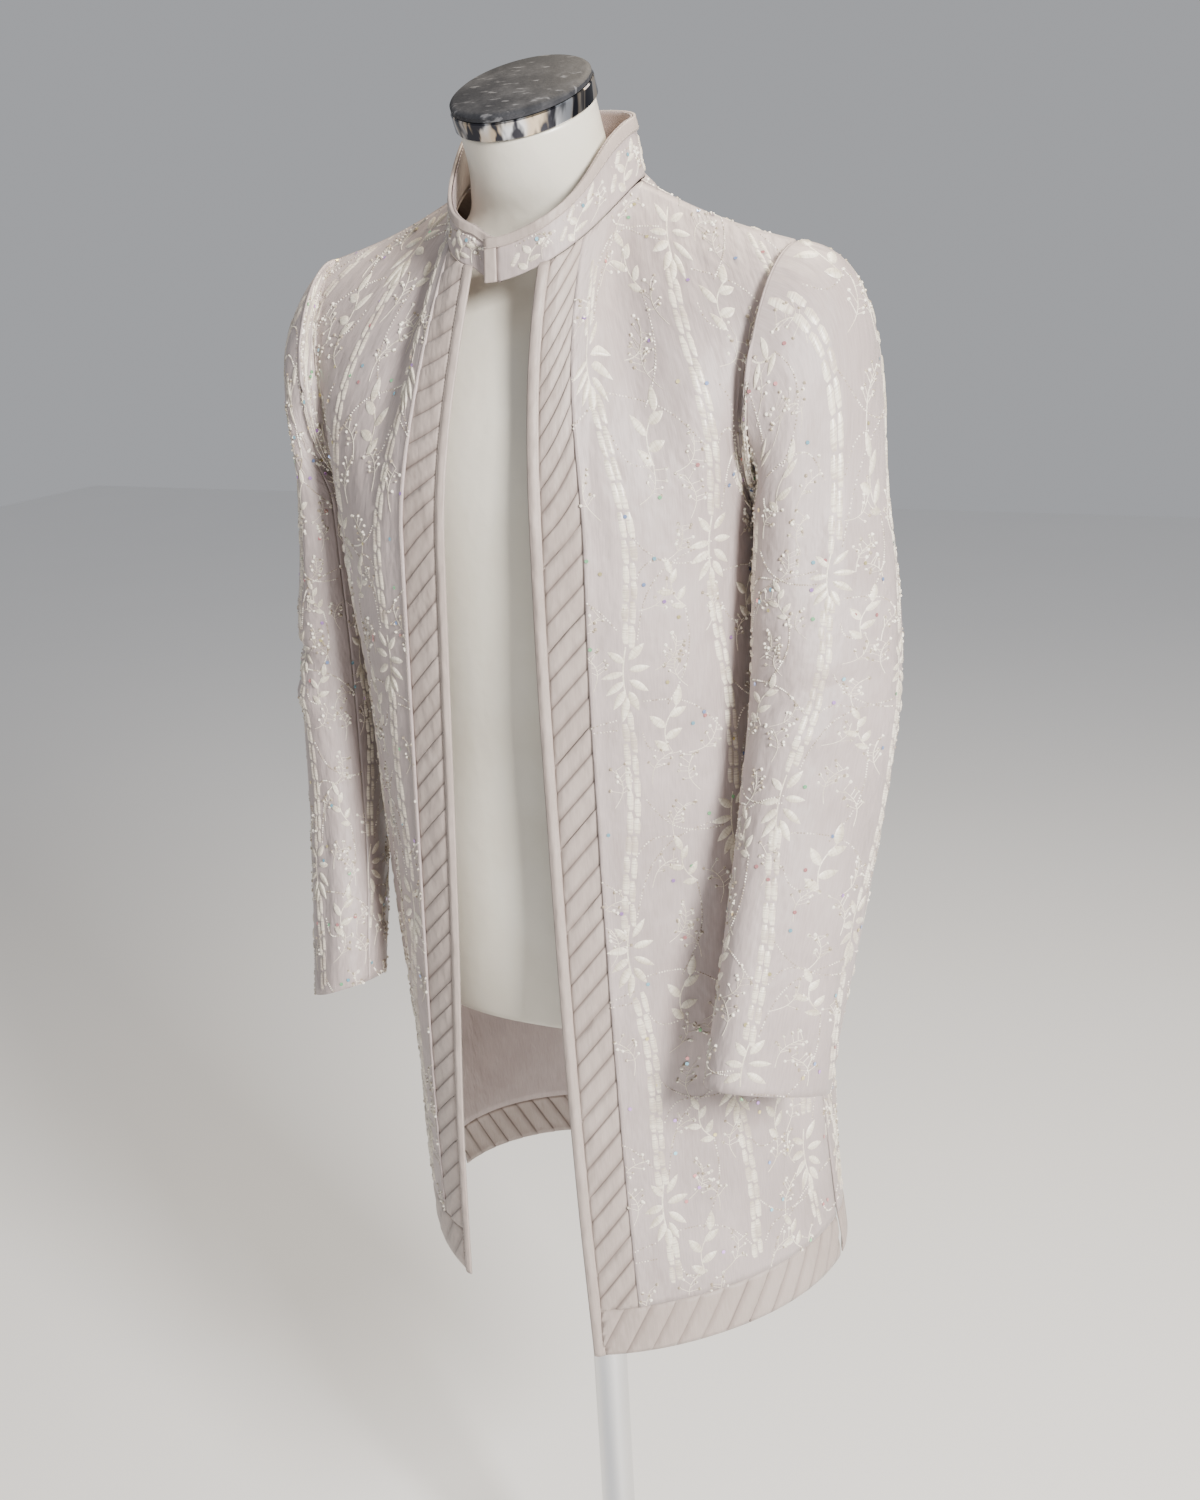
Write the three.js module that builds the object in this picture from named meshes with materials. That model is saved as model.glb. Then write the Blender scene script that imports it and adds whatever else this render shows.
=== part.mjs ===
// A long embroidered sherwani coat, worn open, on a limbless dress form with a pole and a round base.
// Millimetres, +Z up. The wearer faces -Y, so the wearer's left is +X.
// The origin is the middle of the base's underside, on the floor.
import * as THREE from 'three';

// ---------------------------------------------------------------- driving sizes
const CLOTH = 2.0;             // thickness of the coat's cloth with its backing
const SEAM = 0.3;              // gap between two pieces that are sewn together
const EDGE_WIDTH = 10;         // plain folded strip down each front edge
const BAND_WIDTH = 34;         // tucked band beside that strip
const HEM_BAND = 40;           // height of the tucked band round the hem
const HEM_Z = 560;             // the hem's height, near enough for shares of the coat's height
const CHEST_Z = 1225;          // below this the coat hangs as plain rings
const CHEST_V = 0.72;          // share of a panel's rows that lie below the chest
const SLIT_TOP_Z = 770;        // top of the slit in each side seam
const SLIT_OPEN = 4;           // how far each side of the slit stands back at the hem

// The coat's rings: sway is how far the skirt swings to the wearer's left.
const RINGS = [
  { z: 548, sway: 22, left: 218, right: 173, frontLeft: 190, frontRight: 160, back: 142, power: 2.05 },
  { z: 700, sway: 18, left: 206, right: 180, frontLeft: 176, frontRight: 150, back: 140, power: 2.10 },
  { z: 880, sway: 10, left: 196, right: 184, frontLeft: 160, frontRight: 144, back: 136, power: 2.20 },
  { z: 1060, sway: 3, left: 186, right: 182, frontLeft: 146, frontRight: 140, back: 124, power: 2.30 },
  { z: 1225, sway: 0, left: 186, right: 186, frontLeft: 146, frontRight: 142, back: 126, power: 2.35 },
];
// The front edges, as distances from the centre line.
const FRONT_EDGES = [
  { z: 548, left: 85, right: 58 },
  { z: 700, left: 71, right: 57 },
  { z: 880, left: 58, right: 46 },
  { z: 1080, left: 48, right: 37 },
  { z: 1310, left: 49, right: 24 },
  { z: 1440, left: 38, right: 20 },
];
// The hem's height: at 0 the front edge, at 1 the side seam, at 2 the centre of the back.
const HEM = [
  { at: 0, left: 548, right: 568 },
  { at: 0.5, left: 566, right: 578 },
  { at: 1, left: 574, right: 580 },
  { at: 2, left: 577, right: 577 },
];
const NECK_POINT = new THREE.Vector3(80, 14, 1491);      // top of the shoulder seam
const SHOULDER_TIP = new THREE.Vector3(212, 12, 1441);   // outer end of the shoulder seam
const UNDERARM = new THREE.Vector3(192, 4, 1262);
const BACK_NECK = new THREE.Vector3(0, 66, 1502);
const FRONT_NECK = { y: -84, z: 1434 };                  // where the neckline meets the front edge
const ARMHOLE_FORWARD = 80;    // how far the armhole scoops into the front
const ARMHOLE_BACKWARD = 66;   // and into the back
const SIDE_ANGLE = THREE.MathUtils.degToRad(92);         // the side seam, round from the centre front

// Where a front panel's top edge changes: neckline, shoulder seam, armhole.
const FRONT_NECK_END = 0.20;
const FRONT_SHOULDER_END = 0.66;
// The same on the back, counted from the side seam.
const BACK_ARMHOLE_END = 0.36;
const BACK_SHOULDER_END = 0.78;

// Sleeve sections: long and short are half widths, turn is how far the section faces inwards.
const CAP_SHARE = 0.22;        // the sleeve head's share of the length
const ARMHOLE_SEAM = 4.0;      // room for the turned-in seam between body and sleeve
const SLEEVES = {
  left: [
    { along: 0.22, x: 237, y: -9, z: 1240, long: 69, short: 45, turn: -10 },
    { along: 0.32, x: 243, y: -18, z: 1186, long: 69, short: 48, turn: -18 },
    { along: 0.45, x: 247, y: -32, z: 1118, long: 67, short: 48, turn: -24 },
    { along: 0.58, x: 245, y: -50, z: 1050, long: 64, short: 44, turn: -28 },
    { along: 0.78, x: 238, y: -90, z: 925, long: 60, short: 38, turn: -30 },
    { along: 1.00, x: 229, y: -134, z: 800, long: 56, short: 34, turn: -30 },
  ],
  right: [
    { along: 0.22, x: 220, y: -2, z: 1240, long: 70, short: 29, turn: -8 },
    { along: 0.32, x: 225, y: -2, z: 1186, long: 70, short: 32, turn: -12 },
    { along: 0.45, x: 231, y: -5, z: 1118, long: 68, short: 35, turn: -18 },
    { along: 0.58, x: 231, y: -12, z: 1050, long: 66, short: 35, turn: -22 },
    { along: 0.78, x: 221, y: -38, z: 925, long: 61, short: 34, turn: -27 },
    { along: 1.00, x: 206, y: -78, z: 802, long: 56, short: 33, turn: -30 },
  ],
};
const SLEEVE_POWER = 2.15;
const CAP_RISE = {              // how the cloth leaves the shoulder tip, out and up
  left: { out: 0.98, up: -0.1 },
  right: { out: 0.8, up: -0.55 },
};
const CUFF_SLANT = { left: 0, right: 14 };      // how far the outside of the cuff hangs lower
const UNDER_SLEEVE = { from: 200, to: 322 };     // the narrower sleeve piece, degrees round

const COLLAR_HEIGHT = { front: 34, back: 46 };
const COLLAR_LAP = 5;          // each collar end past the centre front
const COLLAR_BIND = 8;         // width of the folded binding on its top edge and left end
const COLLAR_LEAN = { front: 3, side: 9, back: 4 };       // how far the top edge leans to the neck
const FACING = 1.2;            // inner layer of the collar

const BASE = { radius: 185, height: 12 };
const POLE = { radius: 16, collarRadius: 30, collarHeight: 34 };
const NECK_TILT = 25;          // the neck's cap faces forward by this many degrees
// The dress form's torso and neck, bottom to top.
const FORM = [
  { z: 800, y: 0, side: 140, front: 96, back: 96, power: 2.2, tilt: 0 },
  { z: 806, y: 0, side: 152, front: 106, back: 106, power: 2.2, tilt: 0 },
  { z: 900, y: 0, side: 164, front: 116, back: 118, power: 2.2, tilt: 0 },
  { z: 1060, y: 0, side: 150, front: 108, back: 102, power: 2.2, tilt: 0 },
  { z: 1200, y: 0, side: 160, front: 118, back: 106, power: 2.3, tilt: 0 },
  { z: 1300, y: 0, side: 164, front: 112, back: 104, power: 2.3, tilt: 0 },
  { z: 1370, y: 2, side: 166, front: 84, back: 94, power: 2.3, tilt: 0 },
  { z: 1415, y: 6, side: 150, front: 56, back: 72, power: 2.3, tilt: 0 },
  { z: 1446, y: 8, side: 108, front: 42, back: 54, power: 2.2, tilt: 0 },
  { z: 1470, y: 4, side: 70, front: 44, back: 50, power: 2.0, tilt: 4 },
  { z: 1496, y: 0, side: 60, front: 52, back: 52, power: 2.0, tilt: 10 },
  { z: 1520, y: -8, side: 56, front: 54, back: 54, power: 2.0, tilt: 17 },
  { z: 1548, y: -20, side: 55, front: 55, back: 55, power: 2.0, tilt: 25 },
];
const NECK_RING = { radius: 58, height: 15 };
const CAP = { radius: 57, height: 6 };

// Facets: across and along each kind of piece.
const FACETS = { panel: 10, panelRows: 20, strip: 1, band: 1, hemRows: 1, back: 9, sleeve: 12,
  sleeveRows: 13, collar: 30, form: 36 };

// ---------------------------------------------------------------- colours
const finish = (color, roughness, metalness = 0) =>
  new THREE.MeshStandardMaterial({ color, roughness, metalness });
const EMBROIDERED = finish(0xd2c9c6, 0.55);
const TUCKED = finish(0xcfc6c3, 0.5);
const BINDING = finish(0xd5cdc9, 0.5);
const LINING = finish(0x8f7f78, 0.6);
const FORM_SKIN = finish(0xe4e2d8, 0.35);
const CHROME = finish(0xc8cacc, 0.12, 1);
const BLACK = finish(0x2b2c2e, 0.5);

// ---------------------------------------------------------------- curves
const clamp01 = (t) => THREE.MathUtils.clamp(t, 0, 1);
const ease = (t) => THREE.MathUtils.smoothstep(t, 0, 1);
const lerp = THREE.MathUtils.lerp;

// A smooth curve through one column of a table whose rows are keyed by another column.
function column(table, key, at, name) {
  const last = table.length - 2;
  let i = 0;
  while (i < last && at > table[i + 1][key]) i += 1;
  const rows = [table[Math.max(i - 1, 0)], table[i], table[i + 1], table[Math.min(i + 2, last + 1)]];
  const [x0, x1, x2, x3] = rows.map((row) => row[key]);
  const [y0, y1, y2, y3] = rows.map((row) => row[name]);
  const span = x2 - x1;
  const t = clamp01((at - x1) / span);
  return hermite(y1, (y2 - y0) / (x2 - x0) * span, y2, (y3 - y1) / (x3 - x1) * span, t);
}

function hermite(from, leave, to, arrive, t) {
  const t2 = t * t;
  const t3 = t2 * t;
  return (2 * t3 - 3 * t2 + 1) * from + (t3 - 2 * t2 + t) * leave + (3 * t2 - 2 * t3) * to + (t3 - t2) * arrive;
}

function sweep(from, leave, to, arrive, t) {
  return new THREE.Vector3(
    hermite(from.x, leave.x, to.x, arrive.x, t),
    hermite(from.y, leave.y, to.y, arrive.y, t),
    hermite(from.z, leave.z, to.z, arrive.z, t));
}

const rounded = (value, power) => Math.sign(value) * Math.abs(value) ** (2 / power);
const sideSign = (side) => (side === 'left' ? 1 : -1);

// A direction that changes smoothly from one key to the next.
function direction(keys, at) {
  let i = 0;
  while (i < keys.length - 2 && at > keys[i + 1].at) i += 1;
  const t = ease((at - keys[i].at) / (keys[i + 1].at - keys[i].at));
  return new THREE.Vector3(...keys[i].way).lerp(new THREE.Vector3(...keys[i + 1].way), t).normalize();
}

// ---------------------------------------------------------------- the coat's body
// Points are worked out on the wearer's left, with x outwards, and mirrored at the end.
function ringPoint(z, angle, side) {
  const power = column(RINGS, 'z', z, 'power');
  const wide = column(RINGS, 'z', z, side);
  const sway = column(RINGS, 'z', z, 'sway') * sideSign(side);
  const front = column(RINGS, 'z', z, side === 'left' ? 'frontLeft' : 'frontRight');
  const deep = Math.cos(angle) > 0 ? front : column(RINGS, 'z', z, 'back');
  return new THREE.Vector3(
    wide * rounded(Math.sin(angle), power) + sway, -deep * rounded(Math.cos(angle), power), z);
}

function frontEdgeAngle(z, side) {
  const sway = column(RINGS, 'z', z, 'sway') * sideSign(side);
  const across = (column(FRONT_EDGES, 'z', z, side) - sway) / column(RINGS, 'z', z, side);
  return Math.asin(Math.abs(across) ** (column(RINGS, 'z', z, 'power') / 2));
}

function frontTop(u, side) {
  if (u < FRONT_NECK_END) {
    const angle = u / FRONT_NECK_END * Math.PI / 2;
    const startX = FRONT_EDGES.at(-1)[side];
    return new THREE.Vector3(
      lerp(startX, NECK_POINT.x, Math.sin(angle)),
      lerp(NECK_POINT.y, FRONT_NECK.y, Math.cos(angle) ** 1.3),
      lerp(NECK_POINT.z, FRONT_NECK.z, Math.cos(angle) ** 1.5));
  }
  if (u < FRONT_SHOULDER_END) {
    const t = (u - FRONT_NECK_END) / (FRONT_SHOULDER_END - FRONT_NECK_END);
    return shoulderSeam(t);
  }
  return armhole((u - FRONT_SHOULDER_END) / (1 - FRONT_SHOULDER_END), -ARMHOLE_FORWARD);
}

function shoulderSeam(t) {
  const dip = 5;
  const point = NECK_POINT.clone().lerp(SHOULDER_TIP, t);
  point.z -= dip * Math.sin(Math.PI * t);
  return point;
}

// Half of the armhole, from the shoulder tip down to the underarm.
function armhole(t, scoop) {
  const point = SHOULDER_TIP.clone().lerp(UNDERARM, t);
  point.y += scoop * Math.sin(Math.PI * t ** 1.15) ** 0.85;
  point.z = lerp(SHOULDER_TIP.z, UNDERARM.z, 0.5 - 0.5 * Math.cos(Math.PI * t));
  return point;
}

function backTop(u) {
  if (u < BACK_ARMHOLE_END) return armhole(1 - u / BACK_ARMHOLE_END, ARMHOLE_BACKWARD);
  if (u < BACK_SHOULDER_END) {
    return shoulderSeam(1 - (u - BACK_ARMHOLE_END) / (BACK_SHOULDER_END - BACK_ARMHOLE_END));
  }
  const angle = (u - BACK_SHOULDER_END) / (1 - BACK_SHOULDER_END) * Math.PI / 2;
  return new THREE.Vector3(NECK_POINT.x * Math.cos(angle),
    lerp(NECK_POINT.y, BACK_NECK.y, Math.sin(angle)), lerp(NECK_POINT.z, BACK_NECK.z, Math.sin(angle)));
}

// How the cloth runs where it meets the top edge.
const FRONT_TOP_WAYS = [
  { at: 0, way: [0, 0.42, 0.9] },
  { at: FRONT_NECK_END, way: [0, 0.8, 0.6] },
  { at: FRONT_SHOULDER_END - 0.03, way: [0, 0.93, 0.36] },
  { at: FRONT_SHOULDER_END + 0.10, way: [0.02, 0.35, 0.93] },
  { at: 1, way: [0, 0, 1] },
];
const BACK_TOP_WAYS = [
  { at: 0, way: [0, 0, 1] },
  { at: BACK_ARMHOLE_END - 0.10, way: [0.02, -0.35, 0.93] },
  { at: BACK_ARMHOLE_END + 0.03, way: [0, -0.97, 0.1] },
  { at: BACK_SHOULDER_END, way: [0, -0.9, 0.3] },
  { at: 1, way: [0, -0.45, 0.9] },
];

// One column of cloth from the hem (v = 0) over the chest to the top edge (v = 1).
function clothColumn(ringAt, hemZ, seamTop, topWay, v) {
  if (v <= CHEST_V) return ringAt(lerp(hemZ, CHEST_Z, v / CHEST_V));
  const from = ringAt(CHEST_Z);
  const top = seamTop.clone().addScaledVector(topWay, -SEAM);
  const reach = from.distanceTo(top);
  const step = 4;
  const leave = from.clone().sub(ringAt(CHEST_Z - step)).normalize().multiplyScalar(reach);
  const arrive = topWay.clone().multiplyScalar(reach * 1.05);
  return sweep(from, leave, top, arrive, (v - CHEST_V) / (1 - CHEST_V));
}

function frontPoint(u, v, side) {
  const ringAt = (z) => {
    const edge = frontEdgeAngle(z, side);
    return ringPoint(z, lerp(edge, SIDE_ANGLE, u), side);
  };
  return clothColumn(ringAt, column(HEM, 'at', u, side), frontTop(u, side), direction(FRONT_TOP_WAYS, u), v);
}

function backPoint(u, v, side) {
  const ringAt = (z) => ringPoint(z, lerp(SIDE_ANGLE, Math.PI, u), side);
  return clothColumn(ringAt, column(HEM, 'at', 1 + u, side), backTop(u), direction(BACK_TOP_WAYS, u), v);
}

// The front's row at height v as a line that can be walked in millimetres from the front edge.
const rowCache = new Map();
function frontRow(v, side) {
  const key = `${side}${v.toFixed(5)}`;
  if (!rowCache.has(key)) {
    const steps = 160;
    const points = Array.from({ length: steps + 1 }, (_, i) => frontPoint(i / steps, v, side));
    const lengths = [0];
    for (let i = 1; i <= steps; i += 1) lengths.push(lengths[i - 1] + points[i].distanceTo(points[i - 1]));
    rowCache.set(key, { points, lengths, total: lengths[steps] });
  }
  return rowCache.get(key);
}

function walkFront(millimetres, v, side) {
  const { points, lengths, total } = frontRow(v, side);
  const target = THREE.MathUtils.clamp(millimetres, 0, total);
  let i = 1;
  while (i < lengths.length - 1 && lengths[i] < target) i += 1;
  const t = (target - lengths[i - 1]) / (lengths[i] - lengths[i - 1]);
  return points[i - 1].clone().lerp(points[i], t);
}

const mirrored = (point, side) => point.setX(point.x * sideSign(side));

// ---------------------------------------------------------------- solids
// Where two panels meet at an angle, both turn their cut edge the same way, as a pressed seam does.
function seamWay(point, u, v) {
  const onShoulder = v === 1 && Math.abs(point.x) > NECK_POINT.x - 1 && point.z > SHOULDER_TIP.z - 1;
  if (onShoulder) return new THREE.Vector3(0, 0, 1);
  const onSide = (u === 0 || u === 1) && Math.abs(point.x) > 120 && point.z > CHEST_Z - 120;
  if (onSide) return new THREE.Vector3(Math.sign(point.x), 0, 0);
  return null;
}

// A closed wall of cloth on a grid of surface points, with its thickness on the inner side.
function clothWall(surface, across, along, thickness, flip = false, edgeWay = () => null) {
  const columns = across + 1;
  const rows = along + 1;
  const small = 1e-3;
  const positions = [];
  for (const inner of [false, true]) {
    for (let j = 0; j < rows; j += 1) {
      for (let i = 0; i < columns; i += 1) {
        const u = i / across;
        const v = j / along;
        const point = surface(u, v);
        if (inner) {
          const du = surface(Math.min(u + small, 1), v).sub(surface(Math.max(u - small, 0), v));
          const dv = surface(u, Math.min(v + small, 1)).sub(surface(u, Math.max(v - small, 0)));
          const outward = edgeWay(point, u, v) ?? du.cross(dv).normalize().multiplyScalar(flip ? -1 : 1);
          point.addScaledVector(outward, -thickness);
        }
        positions.push(point.x, point.y, point.z);
      }
    }
  }
  const outerAt = (i, j) => j * columns + i;
  const innerAt = (i, j) => columns * rows + outerAt(i, j);
  const triangles = [];
  const quad = (a, b, c, d) => {
    const loop = flip ? [a, d, c, b] : [a, b, c, d];
    triangles.push(loop[0], loop[1], loop[2], loop[0], loop[2], loop[3]);
  };
  for (let j = 0; j < along; j += 1) {
    for (let i = 0; i < across; i += 1) {
      quad(outerAt(i, j), outerAt(i + 1, j), outerAt(i + 1, j + 1), outerAt(i, j + 1));
      quad(innerAt(i, j), innerAt(i, j + 1), innerAt(i + 1, j + 1), innerAt(i + 1, j));
    }
  }
  for (let i = 0; i < across; i += 1) {
    quad(outerAt(i, 0), innerAt(i, 0), innerAt(i + 1, 0), outerAt(i + 1, 0));
    quad(outerAt(i, along), outerAt(i + 1, along), innerAt(i + 1, along), innerAt(i, along));
  }
  for (let j = 0; j < along; j += 1) {
    quad(outerAt(0, j), outerAt(0, j + 1), innerAt(0, j + 1), innerAt(0, j));
    quad(outerAt(across, j), innerAt(across, j), innerAt(across, j + 1), outerAt(across, j + 1));
  }
  return solid(positions, triangles);
}

function solid(positions, triangles) {
  const geometry = new THREE.BufferGeometry();
  geometry.setAttribute('position', new THREE.Float32BufferAttribute(positions, 3));
  geometry.setIndex(triangles);
  geometry.computeVertexNormals();
  return geometry;
}

// A closed form through rings of equal point counts, listed from the bottom up.
function loftedForm(rings) {
  const count = rings[0].length;
  const positions = rings.flat().flatMap((p) => [p.x, p.y, p.z]);
  const triangles = [];
  for (let r = 0; r < rings.length - 1; r += 1) {
    for (let i = 0; i < count; i += 1) {
      const a = r * count + i;
      const b = r * count + (i + 1) % count;
      triangles.push(a, b, b + count, a, b + count, a + count);
    }
  }
  const top = (rings.length - 1) * count;
  for (let i = 1; i < count - 1; i += 1) {
    triangles.push(0, i + 1, i);
    triangles.push(top, top + i, top + i + 1);
  }
  return solid(positions, triangles);
}

const coat = new THREE.Group();
function add(name, geometry, material) {
  const mesh = new THREE.Mesh(geometry, material);
  mesh.name = name;
  coat.add(mesh);
}

// ---------------------------------------------------------------- fronts, bands and hems
const hemShare = HEM_BAND / (CHEST_Z - HEM_Z) * CHEST_V;
const seamShare = SEAM / (CHEST_Z - HEM_Z) * CHEST_V;

// How far a side seam stands back, in millimetres, at a height: the slit opens towards the hem.
const slitBack = (z) => SEAM / 2 + SLIT_OPEN * clamp01((SLIT_TOP_Z - z) / (SLIT_TOP_Z - HEM_Z));

// A piece of a front between two distances from the front edge, and two shares of its height.
function frontPiece(side, from, to, low, high, across, along) {
  const surface = (u, v) => {
    const height = lerp(low, high, v);
    const { total } = frontRow(height, side);
    const sideLimit = total - slitBack(lerp(HEM_Z, CHEST_Z, Math.min(height / CHEST_V, 1)));
    const start = Math.min(from, sideLimit - 1);
    const end = to === undefined ? sideLimit : to;
    return mirrored(walkFront(lerp(start, end, u), height, side), side);
  };
  return clothWall(surface, across, along, CLOTH, side === 'right', seamWay);
}

for (const side of ['left', 'right']) {
  const bandEdge = EDGE_WIDTH + BAND_WIDTH;
  const bodyStart = hemShare + seamShare;
  const rows = FACETS.panelRows;
  add(`edge_strip_${side}`, frontPiece(side, 0, EDGE_WIDTH - SEAM, 0, 1, FACETS.strip, rows), BINDING);
  add(`tucked_band_${side}`,
    frontPiece(side, EDGE_WIDTH, bandEdge - SEAM, bodyStart, 1, FACETS.band, rows), TUCKED);
  add(`front_${side}`, frontPiece(side, bandEdge, undefined, bodyStart, 1, FACETS.panel, rows), EMBROIDERED);
  add(`hem_band_front_${side}`,
    frontPiece(side, EDGE_WIDTH, undefined, 0, hemShare, FACETS.panel, FACETS.hemRows), TUCKED);
}

// ---------------------------------------------------------------- back
// u runs from the left side seam (0) over the centre (0.5) to the right side seam (1).
function backSurface(u, v, low, high) {
  const side = u < 0.5 ? 'left' : 'right';
  const height = lerp(low, high, v);
  const z = lerp(HEM_Z, CHEST_Z, Math.min(height / CHEST_V, 1));
  const halfWidth = 290;
  const standBack = slitBack(z) / halfWidth;
  const half = u < 0.5 ? 2 * u : 2 * (1 - u);
  return mirrored(backPoint(lerp(standBack, 1, half), height, side), side);
}
add('back', clothWall((u, v) => backSurface(u, v, hemShare + seamShare, 1),
  2 * FACETS.back, FACETS.panelRows, CLOTH, false, seamWay), EMBROIDERED);
add('hem_band_back', clothWall((u, v) => backSurface(u, v, 0, hemShare),
  2 * FACETS.back, FACETS.hemRows, CLOTH), TUCKED);

// ---------------------------------------------------------------- sleeves
// Round the sleeve: 0 is the front, 90 the outside, 180 the back and 270 the underarm.
function armholeEdge(angle, side) {
  const turned = THREE.MathUtils.euclideanModulo(angle + Math.PI / 2, 2 * Math.PI);
  if (turned <= Math.PI) return frontTop(1 - turned / Math.PI * (1 - FRONT_SHOULDER_END), side);
  return backTop(BACK_ARMHOLE_END * (2 - turned / Math.PI));
}

function sleeveSection(angle, along, side) {
  const table = SLEEVES[side];
  const read = (name, at = along) => column(table, 'along', at, name);
  const turn = THREE.MathUtils.degToRad(read('turn'));
  const step = 0.02;
  const [before, after] = [Math.max(along - step, CAP_SHARE), Math.min(along + step, 1)];
  const lean = (read('y', after) - read('y', before)) / (read('z', after) - read('z', before));
  const forward = read('long') * rounded(Math.cos(angle), SLEEVE_POWER);
  const outward = read('short') * rounded(Math.sin(angle), SLEEVE_POWER);
  const x = forward * Math.sin(turn) + outward * Math.cos(turn);
  const y = -forward * Math.cos(turn) + outward * Math.sin(turn);
  const settled = ease((along - CAP_SHARE) / 0.3);
  const slant = CUFF_SLANT[side] * ease((along - 0.8) / 0.2) * outward / read('short');
  return new THREE.Vector3(read('x') + x, read('y') + y, read('z') - y * lean * settled - slant);
}

function sleevePoint(angle, along, side) {
  if (along >= CAP_SHARE) return sleeveSection(angle, along, side);
  const from = armholeEdge(angle, side);
  const to = sleeveSection(angle, CAP_SHARE, side);
  const reach = from.distanceTo(to) * 1.1;
  const raised = 0.5 + 0.5 * Math.sin(angle);
  const { out, up } = CAP_RISE[side];
  const leave = new THREE.Vector3(lerp(0.45, out, raised), 0, lerp(-0.9, up, raised)).normalize();
  from.addScaledVector(leave, ARMHOLE_SEAM);
  const arrive = sleeveSection(angle, CAP_SHARE + 0.02, side).sub(to).normalize();
  return sweep(from, leave.multiplyScalar(reach), to, arrive.multiplyScalar(reach), along / CAP_SHARE);
}

function sleevePiece(side, fromDegrees, toDegrees, across) {
  const gapDegrees = 0.2;
  const surface = (u, v) => {
    const degrees = lerp(fromDegrees + gapDegrees, toDegrees - gapDegrees, u);
    return mirrored(sleevePoint(THREE.MathUtils.degToRad(degrees), v ** 1.3, side), side);
  };
  return clothWall(surface, across, FACETS.sleeveRows, CLOTH, side === 'left');
}

for (const side of ['left', 'right']) {
  const { from, to } = UNDER_SLEEVE;
  add(`upper_sleeve_${side}`, sleevePiece(side, to - 360, from, FACETS.sleeve), EMBROIDERED);
  add(`under_sleeve_${side}`, sleevePiece(side, from, to, FACETS.sleeve / 2), EMBROIDERED);
}

// ---------------------------------------------------------------- collar
// The neckline from the left front end (0) round the back to the right front end (1).
function necklinePoint(around) {
  const side = around < 0.5 ? 'left' : 'right';
  const half = around < 0.5 ? 2 * around : 2 * (1 - around);
  const frontShare = 0.16;
  const edgeShare = 0.58;
  const edgeX = FRONT_EDGES.at(-1)[side];
  let point;
  if (half < frontShare) {
    const t = half / frontShare;
    point = new THREE.Vector3(lerp(-COLLAR_LAP, edgeX, t),
      FRONT_NECK.y - 5 * (1 - t), FRONT_NECK.z - 5 * (1 - t * t));
  } else if (half < edgeShare) {
    point = frontTop((half - frontShare) / (edgeShare - frontShare) * FRONT_NECK_END * 0.999, side);
  } else {
    const start = BACK_SHOULDER_END * 1.001;
    point = backTop(lerp(start, 1, (half - edgeShare) / (1 - edgeShare)));
  }
  return mirrored(point, side);
}

// The collar's surface: up is 0 at the neckline and 1 at the top edge; out lifts it off the surface.
function collarPoint(around, up, out) {
  const foot = necklinePoint(around);
  const middle = new THREE.Vector3(0, -8, foot.z);
  const outward = foot.clone().sub(middle).normalize();
  const toFront = ease(clamp01(-outward.y));
  const lean = outward.y < 0 ? lerp(COLLAR_LEAN.side, COLLAR_LEAN.front, toFront)
    : lerp(COLLAR_LEAN.side, COLLAR_LEAN.back, ease(outward.y));
  const height = lerp(COLLAR_HEIGHT.back, COLLAR_HEIGHT.front, toFront);
  const lap = 3.4 * (1 - ease(around / 0.14));
  const underlap = 3.0 * ease((around - 0.86) / 0.14);
  const clearOfSeam = 1.2;
  foot.addScaledVector(outward, out + lap - underlap - lean * up);
  foot.z += clearOfSeam + up * (height - clearOfSeam);
  return foot;
}

const bindShare = COLLAR_BIND / COLLAR_HEIGHT.front;
const endShare = 0.018;
const seamUp = SEAM / COLLAR_HEIGHT.front;
const seamAround = 0.0008;
add('collar', clothWall((u, v) => collarPoint(lerp(endShare + seamAround, 1, u),
  lerp(0, 1 - bindShare - seamUp, v), 0), FACETS.collar, 3, CLOTH), EMBROIDERED);
add('collar_binding', clothWall((u, v) => collarPoint(u, lerp(1 - bindShare + 3 * seamUp, 1, v), 0.4),
  FACETS.collar, 1, CLOTH + 0.8), BINDING);
add('collar_end_binding', clothWall((u, v) => collarPoint(u * endShare, lerp(0, 1 - bindShare - seamUp, v), 0.4),
  1, 3, CLOTH + 0.8), BINDING);
add('collar_facing', clothWall((u, v) => collarPoint(u, lerp(0, 1, v), -CLOTH - 1.1),
  FACETS.collar, 3, FACING), LINING);

// ---------------------------------------------------------------- dress form
const neckTilt = THREE.MathUtils.degToRad(NECK_TILT);
const neckUp = new THREE.Vector3(0, -Math.sin(neckTilt), Math.cos(neckTilt));

function formRing(row) {
  const tilt = THREE.MathUtils.degToRad(row.tilt);
  return Array.from({ length: FACETS.form }, (_, i) => {
    const angle = i / FACETS.form * 2 * Math.PI;
    const ahead = Math.cos(angle) * (Math.cos(angle) > 0 ? row.front : row.back);
    const along = Math.sign(ahead) * Math.abs(rounded(Math.cos(angle), row.power))
      * (ahead > 0 ? row.front : row.back);
    return new THREE.Vector3(row.side * rounded(Math.sin(angle), row.power),
      row.y - along * Math.cos(tilt), row.z - along * Math.sin(tilt));
  });
}
add('form_torso', loftedForm(FORM.map(formRing)), FORM_SKIN);

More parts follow.
